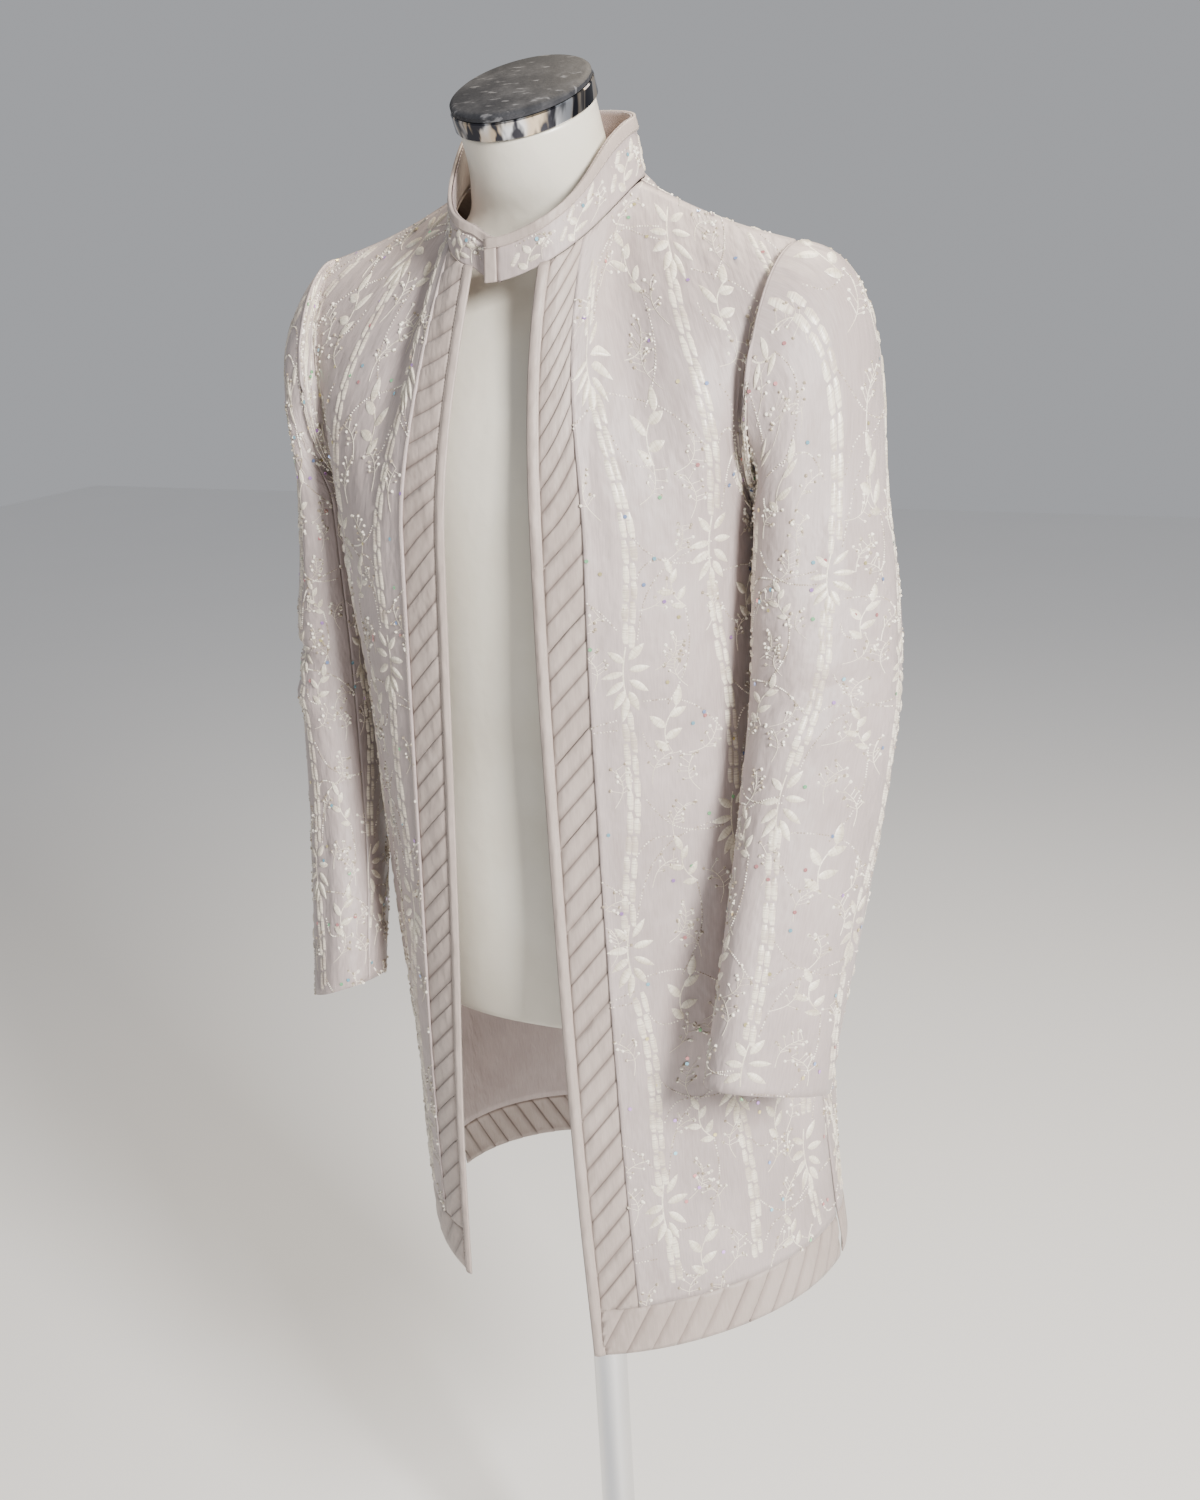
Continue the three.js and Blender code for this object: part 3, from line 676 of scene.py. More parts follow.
back_half_width = 0.3
back_neck = Vector((0.0, 0.066, 1.502))
armhole_backward = -0.066
back_armhole_end, back_shoulder_end = 0.36, 0.78
back_top_ways = [(0.0, (0, 0, 1)), (0.26, (0.02, -0.35, 0.93)), (0.39, (0, -0.97, 0.1)),
                 (0.78, (0, -0.9, 0.3)), (1.0, (0, -0.45, 0.9))]


def back_top(u):
    """The top edge of the back: armhole, shoulder seam, then neckline."""
    if u < back_armhole_end:
        return armhole(1 - u / back_armhole_end, armhole_backward)
    if u < back_shoulder_end:
        return shoulder_seam(1 - (u - back_armhole_end) / (back_shoulder_end - back_armhole_end))
    angle = (u - back_shoulder_end) / (1 - back_shoulder_end) * math.pi / 2
    return Vector((neck_point.x * math.cos(angle), blend(neck_point.y, back_neck.y, math.sin(angle)),
                   blend(neck_point.z, back_neck.z, math.sin(angle))))


def back_point(u, v, side):
    def ring_at(height):
        return ring_point(height, blend(side_angle, math.pi, u), side)
    hem = read(hem_line, 1 + u, side_column[side])
    return mirrored(cloth_column(ring_at, hem, back_top(u), way_at(back_top_ways, u), v), side)


def back_surface(u, v, low, high):
    side = 1 if u < 0.5 else -1
    height = blend(low, high, v)
    half = 2 * u if u < 0.5 else 2 * (1 - u)
    return back_point(blend(slit_back(height) / back_half_width, 1.0, half), height, side)


back_creases = [
    (-0.19, 0.9, -0.15, 0.64, 0.026, -0.00725), (0.185, 0.905, 0.16, 0.66, 0.024, -0.007975),
    (-0.09, 0.76, -0.07, 0.38, 0.032, 0.005075), (0.08, 0.7, 0.06, 0.33, 0.03, 0.0058),
    (-0.01, 0.6, 0.005, 0.05, 0.03, -0.0087), (-0.15, 0.45, -0.165, 0.04, 0.026, -0.00725),
    (0.14, 0.43, 0.16, 0.03, 0.028, -0.007975), (0.225, 0.38, 0.24, 0.02, 0.022, 0.0058),
    (-0.235, 0.4, -0.225, 0.02, 0.022, 0.006525), (-0.1, 0.88, 0.11, 0.88, 0.03, 0.003625),
]
back_cloth, back_laid = lay_cloth(
    "back_cloth", grid(128, 140), lambda u, v: back_surface(u, v, hem_share, 1.0),
    lambda u, v: ((u - 0.5) * 2 * back_half_width, length_at(blend(hem_share, 1.0, v))),
    embroidered_silk, back_creases, settles=True)
fixed(back_cloth, "back", "embroidered_cloth")

back_hem = tucked_band("hem_band_cloth_back", seated(lambda u, v: back_surface(u, v, 0.0, hem_share)),
                       (hem_band_height, 2 * back_half_width), hem_rise, False)[0]
fixed(back_hem, "hem_band_back", "tucked_cloth")

# ---- sleeves
# Each sleeve is a wide outer piece and a narrow under piece, joined by a seam down the front and one
# down the back of the arm, and eased into the armhole. The arms are empty and hang from the shoulders.

sleeve_head = 0.22
armhole_seam = 0.0012
sleeve_power = 2.15
under_from, under_to = 200, 322
# Share of the length, centre of the section (x, y, z), its half lengths and its turn in degrees.
sleeve_sections = {
    1: [(0.22, 0.237, -0.009, 1.24, 0.069, 0.045, -10), (0.32, 0.243, -0.018, 1.186, 0.069, 0.048, -18),
        (0.45, 0.247, -0.032, 1.118, 0.067, 0.048, -24), (0.58, 0.245, -0.05, 1.05, 0.064, 0.044, -28),
        (0.78, 0.238, -0.09, 0.925, 0.06, 0.038, -30), (1.0, 0.229, -0.134, 0.8, 0.056, 0.034, -30)],
    -1: [(0.22, 0.22, -0.002, 1.24, 0.07, 0.029, -8), (0.32, 0.225, -0.002, 1.186, 0.07, 0.032, -12),
         (0.45, 0.231, -0.005, 1.118, 0.068, 0.035, -18), (0.58, 0.231, -0.012, 1.05, 0.066, 0.035, -22),
         (0.78, 0.221, -0.038, 0.925, 0.061, 0.034, -27), (1.0, 0.206, -0.078, 0.802, 0.056, 0.033, -30)],
}
head_rise = {1: (0.98, -0.1), -1: (0.8, -0.55)}
cuff_slant = {1: 0.0, -1: 0.014}
sleeve_length = 0.66


def armhole_edge(angle, side):
    turned = (angle + math.pi / 2) % math.tau
    if turned <= math.pi:
        return front_top(1 - turned / math.pi * (1 - front_shoulder_end), side)
    return back_top(back_armhole_end * (2 - turned / math.pi))


def sleeve_section(angle, along, side):
    table = sleeve_sections[side]
    x, y, z, long_half, short_half, turn = (read(table, along, k) for k in range(1, 7))
    turn = math.radians(turn)
    before, after = max(along - 0.02, sleeve_head), min(along + 0.02, 1.0)
    lean = ((read(table, after, 2) - read(table, before, 2))
            / (read(table, after, 3) - read(table, before, 3)))
    forward = long_half * squared(math.cos(angle), sleeve_power)
    outward = short_half * squared(math.sin(angle), sleeve_power)
    aside = forward * math.sin(turn) + outward * math.cos(turn)
    ahead = -forward * math.cos(turn) + outward * math.sin(turn)
    settled = ease((along - sleeve_head) / 0.3)
    slant = cuff_slant[side] * ease((along - 0.8) / 0.2) * outward / short_half
    return Vector((x + aside, y + ahead, z - ahead * lean * settled - slant))


def sleeve_point(angle, along, side):
    if along >= sleeve_head:
        return sleeve_section(angle, along, side)
    start = armhole_edge(angle, side)
    end = sleeve_section(angle, sleeve_head, side)
    reach = (end - start).length * 1.1
    raised = 0.5 + 0.5 * math.sin(angle)
    out, up = head_rise[side]
    leave = Vector((blend(0.45, out, raised), 0.0, blend(-0.9, up, raised))).normalized()
    arrive = (sleeve_section(angle, sleeve_head + 0.02, side) - end).normalized()
    return curve(start + leave * armhole_seam, leave * reach, end, arrive * reach, along / sleeve_head)


def sleeve_flat(degrees, along, side):
    long_half, short_half = (read(sleeve_sections[side], max(along, sleeve_head), k) for k in (4, 5))
    around = math.tau * math.sqrt((long_half ** 2 + short_half ** 2) / 2)
    return (degrees - 80.0) / 360.0 * around * side, (1.0 - along) * sleeve_length


sleeve_creases = {
    1: [(-0.085, 0.33, 0.02, 0.36, 0.014, -0.005075), (-0.08, 0.29, 0.01, 0.3, 0.012, 0.00435),
        (0.06, 0.56, 0.05, 0.33, 0.02, -0.005075), (-0.05, 0.6, -0.045, 0.42, 0.018, -0.0058),
        (0.03, 0.24, 0.055, 0.02, 0.02, -0.00435), (-0.06, 0.2, -0.045, 0.01, 0.018, 0.00435)],
    -1: [(0.08, 0.33, -0.02, 0.36, 0.014, -0.005075), (0.06, 0.28, -0.03, 0.3, 0.012, 0.00435),
         (0.045, 0.6, 0.04, 0.4, 0.018, -0.006525), (-0.05, 0.56, -0.045, 0.32, 0.02, -0.005075),
         (0.05, 0.23, 0.035, 0.01, 0.018, -0.005075), (-0.04, 0.22, -0.05, 0.02, 0.018, 0.00435)],
}
head_spread = 1.3
cuff_height, head_height = 0.8, 1.24
sleeves = {}
for side, name in side_name.items():
    def sleeve_axis(height):
        table = sleeve_sections[side]
        fallen = min(max((head_height - height) / (head_height - cuff_height), 0.0), 1.0)
        along = blend(sleeve_head, 1.0, fallen)
        return Vector((read(table, along, 1) * side, read(table, along, 2), height))

    for part, start, end, across in (("upper", under_to - 360, under_from, 72),
                                     ("under", under_from, under_to, 36)):
        def sleeve_surface(u, v):
            return mirrored(sleeve_point(math.radians(blend(start, end, u)), v ** head_spread, side), side)

        def sleeve_place(u, v):
            return sleeve_flat(blend(start, end, u), v ** head_spread, side)

        sleeves[part, side] = lay_cloth(f"{part}_sleeve_cloth_{name}", grid(across, 110),
                                        sleeve_surface, sleeve_place, embroidered_silk, sleeve_creases[side],
                                        axis=sleeve_axis)
        fixed(sleeves[part, side][0], f"{part}_sleeve_{name}", "embroidered_cloth")

# ---- collar
# A stand collar of embroidered silk, stiffened and faced inside with mauve-brown lining. A folded
# strip of plain silk binds its top edge and the left end, which laps over the right one.

collar_front, collar_back = 0.034, 0.046
collar_lap = 0.005
binding_width = 0.008
front_share, edge_share = 0.16, 0.58
end_share = 0.018
collar_dip, dip_share, collar_seat = 0.009, 0.13, 0.0012
side_lean, front_lean, back_lean = 0.009, 0.003, 0.004
lap_out, underlap_in, lap_share = 0.0034, 0.003, 0.14


def neckline_point(around):
    side = 1 if around < 0.5 else -1
    half = 2 * around if around < 0.5 else 2 * (1 - around)
    start = front_edges[-1][side_column[side]]
    if half < front_share:
        t = half / front_share
        return mirrored(Vector((blend(-collar_lap, start, t), front_neck_y - 0.005 * (1 - t),
                                front_neck_z - 0.005 * (1 - t * t))), side)
    if half < edge_share:
        share = (half - front_share) / (edge_share - front_share)
        return mirrored(front_top(share * front_neck_end * 0.999, side), side)
    share = (half - edge_share) / (1 - edge_share)
    return mirrored(back_top(blend(back_shoulder_end * 1.001, 1.0, share)), side)


def collar_point(around, up, out):
    """A point of the collar: up is 0 at the neckline and 1 at the top edge."""
    foot = neckline_point(around)
    outward = (foot - Vector((0.0, -0.008, foot.z))).normalized()
    to_front = ease(-outward.y)
    lean = blend(side_lean, front_lean, to_front)
    if outward.y >= 0:
        lean = blend(side_lean, back_lean, ease(outward.y))
    lap = lap_out * (1 - ease(around / lap_share))
    underlap = underlap_in * ease((around - 1 + lap_share) / lap_share)
    foot += outward * (out + lap - underlap - lean * up)
    foot.z += blend(collar_seat, blend(collar_back, collar_front, to_front), up)
    foot.z -= collar_dip * (1 - ease(min(around, 1 - around) / dip_share))
    return foot


collar_length = 0.415


def collar_flat(around, up):
    return around * collar_length, up * blend(collar_front, collar_back, math.sin(math.pi * around))


bind_share = binding_width / collar_front
lining = Finish("mauve_lining", (0.3, 0.225, 0.215), 0.5, sheen_weight=0.3)
lining.tinted(lining.noise(lining.cloth_place(), 60.0), (0.27, 0.2, 0.19), (0.34, 0.26, 0.245))
lining.relief(lining.threads(lining.cloth_place(), "DIAGONAL", 0.001), 0.0003)

# Each layer: its solid, where it runs round the neck and up, how far out it stands, cells round and up,
# finish, thickness and slot.
seam_under = 1 - bind_share + 0.02
collar_layers = [
    ("collar", (end_share, 1.0), (0.0, seam_under), 0.0, 132, 14, embroidered_silk, 0.0012,
     "embroidered_cloth"),
    ("collar_binding", (0.0, 1.0), (1 - bind_share, 1.0), 0.0012, 132, 6, plain_silk, 0.0026, "binding"),
    ("collar_end_binding", (0.0, end_share), (0.0, seam_under), 0.001, 6, 14, plain_silk, 0.0024, "binding"),
    ("collar_facing", (0.0, 1.0), (0.0, 0.985), -0.0016, 132, 12, lining, 0.0012, "facing_cloth"),
]
collars = {}
for node, around, up, out, across, along, finish, thick, slot in collar_layers:
    def collar_surface(u, v):
        return collar_point(blend(*around, u), blend(*up, v), out)

    def collar_place(u, v):
        return collar_flat(blend(*around, u), blend(*up, v))

    folds = [(-0.2, 0.036, 0.7, 0.036, 0.006, 0.00087)] if node == "collar_binding" else []
    collars[node] = lay_cloth(f"{node}_cloth", grid(across, along), collar_surface, collar_place, finish,
                              folds, thick)
    fixed(collars[node][0], node, slot)

# ---- dress form
# A moulded cream shell: a torso to the hips with a neck that tips forward, cut flat under a chrome
# ring and a dusty black cap. It stands on a chrome pole and a round chrome base.

# Height, middle, half width, depth in front and behind, squareness, and tilt forward in degrees.
form_rows = [
    (0.8, 0.0, 0.14, 0.096, 0.096, 2.2, 0), (0.806, 0.0, 0.152, 0.106, 0.106, 2.2, 0),
    (0.9, 0.0, 0.164, 0.116, 0.118, 2.2, 0), (1.06, 0.0, 0.15, 0.108, 0.102, 2.2, 0),
    (1.2, 0.0, 0.16, 0.118, 0.106, 2.3, 0), (1.3, 0.0, 0.164, 0.112, 0.104, 2.3, 0),
    (1.37, 0.002, 0.166, 0.084, 0.094, 2.3, 0), (1.415, 0.006, 0.15, 0.056, 0.072, 2.3, 0),
    (1.446, 0.008, 0.108, 0.042, 0.054, 2.2, 0), (1.47, 0.004, 0.07, 0.044, 0.05, 2.0, 4),
    (1.496, 0.0, 0.06, 0.052, 0.052, 2.0, 10), (1.52, -0.008, 0.056, 0.054, 0.054, 2.0, 17),
    (1.548, -0.02, 0.055, 0.055, 0.055, 2.0, 25),
]
neck_tilt = math.radians(25)
neck_top = Vector((0.0, -0.02, 1.548))

shell = Finish("cream_shell", (0.68, 0.64, 0.55), 0.3, specular_ior_level=0.45, coat_weight=0.15,
               coat_roughness=0.25)
mottle = shell.noise(shell.place(), 14.0, 3.0)
shell.tinted(mottle.between(0.3, 0.7), (0.65, 0.61, 0.52), (0.7, 0.665, 0.58))
shell.set("Roughness", mottle * 0.12 + 0.25)
shell.relief(shell.noise(shell.place(), 90.0), 0.0004)

chrome = Finish("chrome", (0.72, 0.72, 0.73), 0.12, metallic=1.0)
smears = chrome.noise(chrome.place(), (30.0, 30.0, 4.0), 3.0)
chrome.set("Roughness", smears * 0.22 + 0.06)
chrome.tinted(smears, (0.6, 0.61, 0.63), (0.8, 0.8, 0.8))

# The neck ring's chrome has painted reflections: near-black bands, and warm and bluish tints, are painted
# into its colour.
ring_chrome = Finish("ring_chrome", (0.72, 0.72, 0.73), 0.08, metallic=1.0)
painted_reflection_bands = ring_chrome.noise(ring_chrome.place(), (95.0, 95.0, 6.0)).between(0.44, 0.56)
painted_reflection_tints = ring_chrome.noise(ring_chrome.place(), (60.0, 60.0, 3.0), 1.0).between(0.4, 0.62)
painted_reflection_colour = ring_chrome.mix(painted_reflection_tints, (0.62, 0.5, 0.36), (0.86, 0.88, 0.92))
ring_chrome.tinted(painted_reflection_bands, (0.05, 0.05, 0.06), painted_reflection_colour)

dusty_cap = Finish("dusty_cap", (0.035, 0.036, 0.04), 0.5, specular_ior_level=0.2)
dust = dusty_cap.noise(dusty_cap.place(), 28.0, 6.0, 0.7)
scuffs = dusty_cap.noise(dusty_cap.place(), (60.0, 260.0, 60.0), 3.0, turn=0.6)
worn = dust.between(0.44, 0.8) * 0.3 + scuffs.between(0.6, 0.7) * 0.55
dusty_cap.tinted(worn, (0.022, 0.023, 0.027), (0.19, 0.19, 0.2))
dusty_cap.set("Roughness", worn * 0.25 + 0.62)
dusty_cap.relief(dust, 0.0012)

torso_shape = grid(120, 150)
torso_foot, rim_top, rim_share = form_rows[0][0], 0.815, 0.02
for vert in torso_shape.verts:
    angle = (vert.co.x + 0.5) * math.tau
    rise = vert.co.y + 0.5
    height = blend(torso_foot, neck_top.z, rise)
    if rise <= rim_share:
        height = blend(torso_foot, rim_top, rise / rim_share)
    middle, wide, front, behind, power, tilt = (read(form_rows, height, k) for k in range(1, 7))
    ahead = squared(math.cos(angle), power) * (front if math.cos(angle) > 0 else behind)
    tilt = math.radians(tilt)
    vert.co = (wide * squared(math.sin(angle), power), middle - ahead * math.cos(tilt),
               height - ahead * math.sin(tilt))
bmesh.ops.remove_doubles(torso_shape, verts=torso_shape.verts[:], dist=0.00002)
bmesh.ops.holes_fill(torso_shape, edges=[edge for edge in torso_shape.edges if edge.is_boundary], sides=0)
bmesh.ops.recalc_face_normals(torso_shape, faces=torso_shape.faces[:])
torso = shown("form_torso_shell", torso_shape, shell)
fixed(torso, "form_torso", "form_shell")


def turned(name, node, slot, outline, finish, place=Matrix(), segments=128):
    """A round piece: its outline, as radius and height from the axis out and back, spun about Z."""
    bm = bmesh.new()
    corners = [bm.verts.new((radius, 0.0, height)) for radius, height in outline]
    edges = [bm.edges.new(pair) for pair in zip(corners, corners[1:])]
    bmesh.ops.spin(bm, geom=corners + edges, cent=(0, 0, 0), axis=(0, 0, 1), angle=math.tau, steps=segments,
                   use_merge=True)
    bmesh.ops.remove_doubles(bm, verts=bm.verts[:], dist=0.00001)
    bmesh.ops.recalc_face_normals(bm, faces=bm.faces[:])
    bmesh.ops.transform(bm, matrix=place, verts=bm.verts[:])
    piece = shown(name, bm, finish)
    piece.data.set_sharp_from_angle(angle=math.radians(35))
    fixed(piece, node, slot)


neck_way = Matrix.Translation(neck_top) @ Matrix.Rotation(neck_tilt, 4, "X")
ring_radius, ring_height, ring_round = 0.058, 0.015, 0.0012
turned("form_neck_ring_metal", "form_neck_ring", "chrome",
       [(0.0, 0.0003), (ring_radius - 0.001, 0.0003), (ring_radius, ring_round),
        (ring_radius, ring_height - ring_round), (ring_radius - 0.001, ring_height), (0.0, ring_height)],
       ring_chrome, neck_way)
cap_radius, cap_height = 0.057, 0.006
cap_foot = ring_height + 0.0006
turned("form_neck_cap_disc", "form_neck_cap", "black_cap",
       [(0.0, cap_foot), (cap_radius, cap_foot), (cap_radius, cap_foot + 0.0032),
        (cap_radius - 0.0008, cap_foot + 0.0042), (cap_radius - 0.004, cap_foot + cap_height),
        (0.0, cap_foot + cap_height)], dusty_cap, neck_way)
base_radius, base_height = 0.185, 0.012
turned("form_base_disc", "form_base", "chrome",
       [(0.0, 0.0), (base_radius - 0.001, 0.0), (base_radius, 0.001), (base_radius, base_height - 0.004),
        (base_radius - 0.0018, base_height - 0.0015), (base_radius - 0.006, base_height),
        (0.0, base_height)], chrome)
pole_radius, pole_foot, pole_top = 0.016, 0.0123, 0.7997
turned("form_pole_tube", "form_pole", "chrome",
       [(0.0, pole_foot), (0.0298, pole_foot), (0.03, 0.013), (0.03, 0.044), (0.0285, 0.046),
        (0.02, 0.05), (pole_radius, 0.054), (pole_radius, pole_top), (0.0, pole_top)],
       chrome, segments=64)

# ---- embroidery
# Machine embroidery in cream silk thread, worked on the flat silk before the coat is cut. Jointed
# trunks run up the cloth; leaf clusters, sprigs, berry sprays, dotted vines and sequins fill between.

thread = Finish("cream_thread", (0.9, 0.86, 0.76), 0.3, sheen_weight=0.2, sheen_roughness=0.3)
stitch_rows = thread.noise(thread.cloth_place(), (750.0, 90.0, 1.0))
thread_tone = thread.noise(thread.place(), 60.0)
stitch_tone = stitch_rows.between(0.32, 0.6) * 0.45 + thread_tone.between(0.3, 0.6) * 0.55
# Painted light and shade: each satin motif is coloured lit on one half across its width and shaded on the
# other.
lit_half = thread.mix(stitch_tone, (0.5, 0.43, 0.33), (0.88, 0.82, 0.69))
shaded_half = thread.mix(stitch_tone, (0.45, 0.385, 0.295), (0.76, 0.69, 0.57))
which_half = thread.output("Y", "ShaderNodeSeparateXYZ", None, {"Vector": thread.cloth_place()})
satin_lit_shaded_halves = thread.mix(which_half.between(-0.001, 0.0004), shaded_half, lit_half)
gaps = thread.noise(thread.cloth_place(), (620.0, 30.0, 1.0), 1.0) + thread_tone * 0.5
thread.tinted(gaps.between(0.78, 0.66) * thread.attribute("tint"), satin_lit_shaded_halves, (0.44, 0.355, 0.33))
thread.set("Roughness", stitch_rows * 0.2 + 0.2)
thread.relief(stitch_rows, 0.00025)

bead_thread = Finish("bead_thread", (0.76, 0.71, 0.62), 0.3, specular_ior_level=0.6)
bead_tone = bead_thread.noise(bead_thread.place(), 230.0, 1.0).between(0.4, 0.6)
bead_thread.tinted(bead_tone, (0.33, 0.27, 0.2), (0.9, 0.85, 0.74))

sequin = Finish("sequin", (0.7, 0.7, 0.8), 0.12, metallic=0.75)
sequin.set("Base Color", sequin.output(0, "ShaderNodeCombineColor", {"mode": "HSV"},
                                       {0: sequin.attribute("tint"), 1: 0.55, 2: 1.0}))


def motif(name, bm):
    """Keeps a small shape, with its flat places as UVs, for repeating."""
    layer = bm.loops.layers.uv.new("cloth")
    for face in bm.faces:
        for loop in face.loops:
            loop[layer].uv = loop.vert.co.xy
    bmesh.ops.recalc_face_normals(bm, faces=bm.faces[:])
    if sum(face.normal.z for face in bm.faces) < 0:
        bmesh.ops.reverse_faces(bm, faces=bm.faces[:])
    return as_mesh(name, bm)


def padded_motif(name, along_cells, across_cells, place):
    """A motif raised from a grid: place gives each point for its shares, -1 to 1, along and across."""
    bm = grid(along_cells, across_cells)
    for vert in bm.verts:
        vert.co = place(vert.co.x * 2, vert.co.y * 2)
    return motif(name, bm)


leaf_length, leaf_width, leaf_proud = 0.018, 0.0076, 0.0016
block_length, block_width, block_proud = 0.015, 0.0058, 0.001
stem_length, stem_width, stem_proud = 0.004, 0.0011, 0.0005
below_cloth = -0.0001


def leaf_place(along, across):
    """An almond leaf lying along X in two padded halves with a groove between them."""
    share = along / 2 + 0.5
    outline = max(math.sin(math.pi * share ** 0.82), 0.0) ** 0.8 + 0.04
    padded = {0.0: 0.4, 0.5: 1.0}.get(round(abs(across), 2), -0.1)
    return share * leaf_length, across * outline * leaf_width / 2, leaf_proud * padded * min(outline, 0.9)


def block_place(along, across):
    """A padded block of satin stitch lying along X."""
    if max(abs(along), abs(across)) > 0.99:
        pull = 0.9 if abs(along) > 0.99 and abs(across) > 0.99 else 1.0
        return (along + 1) * block_length / 2, across * pull * block_width / 2, below_cloth
    along = math.copysign(min(abs(along) * 2.2, 1.0), along)
    return (along * 0.86 + 1) * block_length / 2, across * block_width / 2, block_proud


def stem_place(along, across):
    height = stem_proud if across == 0 else below_cloth
    return (along / 2 + 0.5) * stem_length, across / 2 * stem_width, height


def knot(radius, height, sides):
    bm = bmesh.new()
    bmesh.ops.create_cone(bm, cap_ends=True, segments=sides, radius1=radius, radius2=radius * 0.5,
                          depth=height)
    bottom = [face for face in bm.faces if face.normal.z < -0.9]
    bmesh.ops.delete(bm, geom=bottom, context="FACES")
    bmesh.ops.translate(bm, verts=bm.verts[:], vec=(0.0, 0.0, height / 2 + below_cloth))
    return motif("knot", bm)


def disc(radius):
    bm = bmesh.new()
    bmesh.ops.create_circle(bm, cap_ends=True, segments=8, radius=radius)
    bmesh.ops.translate(bm, verts=bm.verts[:], vec=(0.0, 0.0, 0.0009))
    return motif("disc", bm)


leaf_motif = padded_motif("satin_leaf", 6, 4, leaf_place)
block_motif = padded_motif("satin_block", 3, 3, block_place)
stem_motif = padded_motif("stem_stitch", 1, 2, stem_place)
berry_motif, bead_motif, sequin_motif = knot(0.0015, 0.0014, 7), knot(0.00082, 0.0008, 5), disc(0.0016)


class Stitching:
    """Motifs stitched to one laid piece of cloth, joined as one mesh."""

    least_drawn, block_tint = 0.62, 0.6

    def __init__(self, laid):
        self.laid = laid
        self.parts, self.places, self.tints = [], [], []
        self.shapes = {}

    def shape(self, template):
        if template.name not in self.shapes:
            self.shapes[template.name] = [vert.co.copy() for vert in template.vertices]
        return self.shapes[template.name]

    def bent(self, template, place, turn, stretch=1.0, widen=1.0):
        """Lays a motif on the cloth's curve. It is left out where it meets an edge or would be squashed."""
        cos, sin = math.cos(turn), math.sin(turn)
        shape = self.shape(template)
        points = []
        for co in shape:
            along, across = co.x * stretch, co.y * widen * self.laid.handed
            found = self.laid.find(place[0] + along * cos - across * sin,
                                   place[1] + along * sin + across * cos)
            if not found:
                return
            points.append(found[0] + found[1] * co.z)
        drawn = shape[-1] - shape[0]
        drawn_length = math.hypot(drawn.x * stretch, drawn.y * widen)
        if (points[-1] - points[0]).length >= self.least_drawn * drawn_length:
            self.keep(template, points, self.block_tint if template is block_motif else 0.0)

    def stiff(self, template, place, tint=0.0, size=1.0):
        """Sets a tiny motif on the cloth, unbent."""
        found = self.laid.find(*place)
        if found:
            turn = found[1].to_track_quat("Z", "Y").to_matrix()
            self.keep(template, [found[0] + turn @ (co * size) for co in self.shape(template)], tint)

    def keep(self, template, points, tint):
        self.parts.append(template)
        self.places.extend(points)
        self.tints.extend([tint] * len(points))

    def joined(self, name, finish):
        bm = bmesh.new()
        for template in self.parts:
            bm.from_mesh(template)
        piece = shown(name, bm, finish)
        mesh = piece.data
        mesh.vertices.foreach_set("co", [value for point in self.places for value in point])
        mesh.attributes.new("tint", "FLOAT", "POINT").data.foreach_set("value", self.tints)
        mesh.update()
        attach(piece, "root")
        return piece


def heading(turn):
    return Vector((math.cos(turn), math.sin(turn)))


def bow(start, run, bend, count):
    """Places along a curve from a place over a run, bent sideways by a share of its length."""
    start, run = Vector(start), Vector(run)
    aside = Vector((-run.y, run.x)) * bend
    return [start + run * (k / count) + aside * math.sin(math.pi * k / count) for k in range(count + 1)]


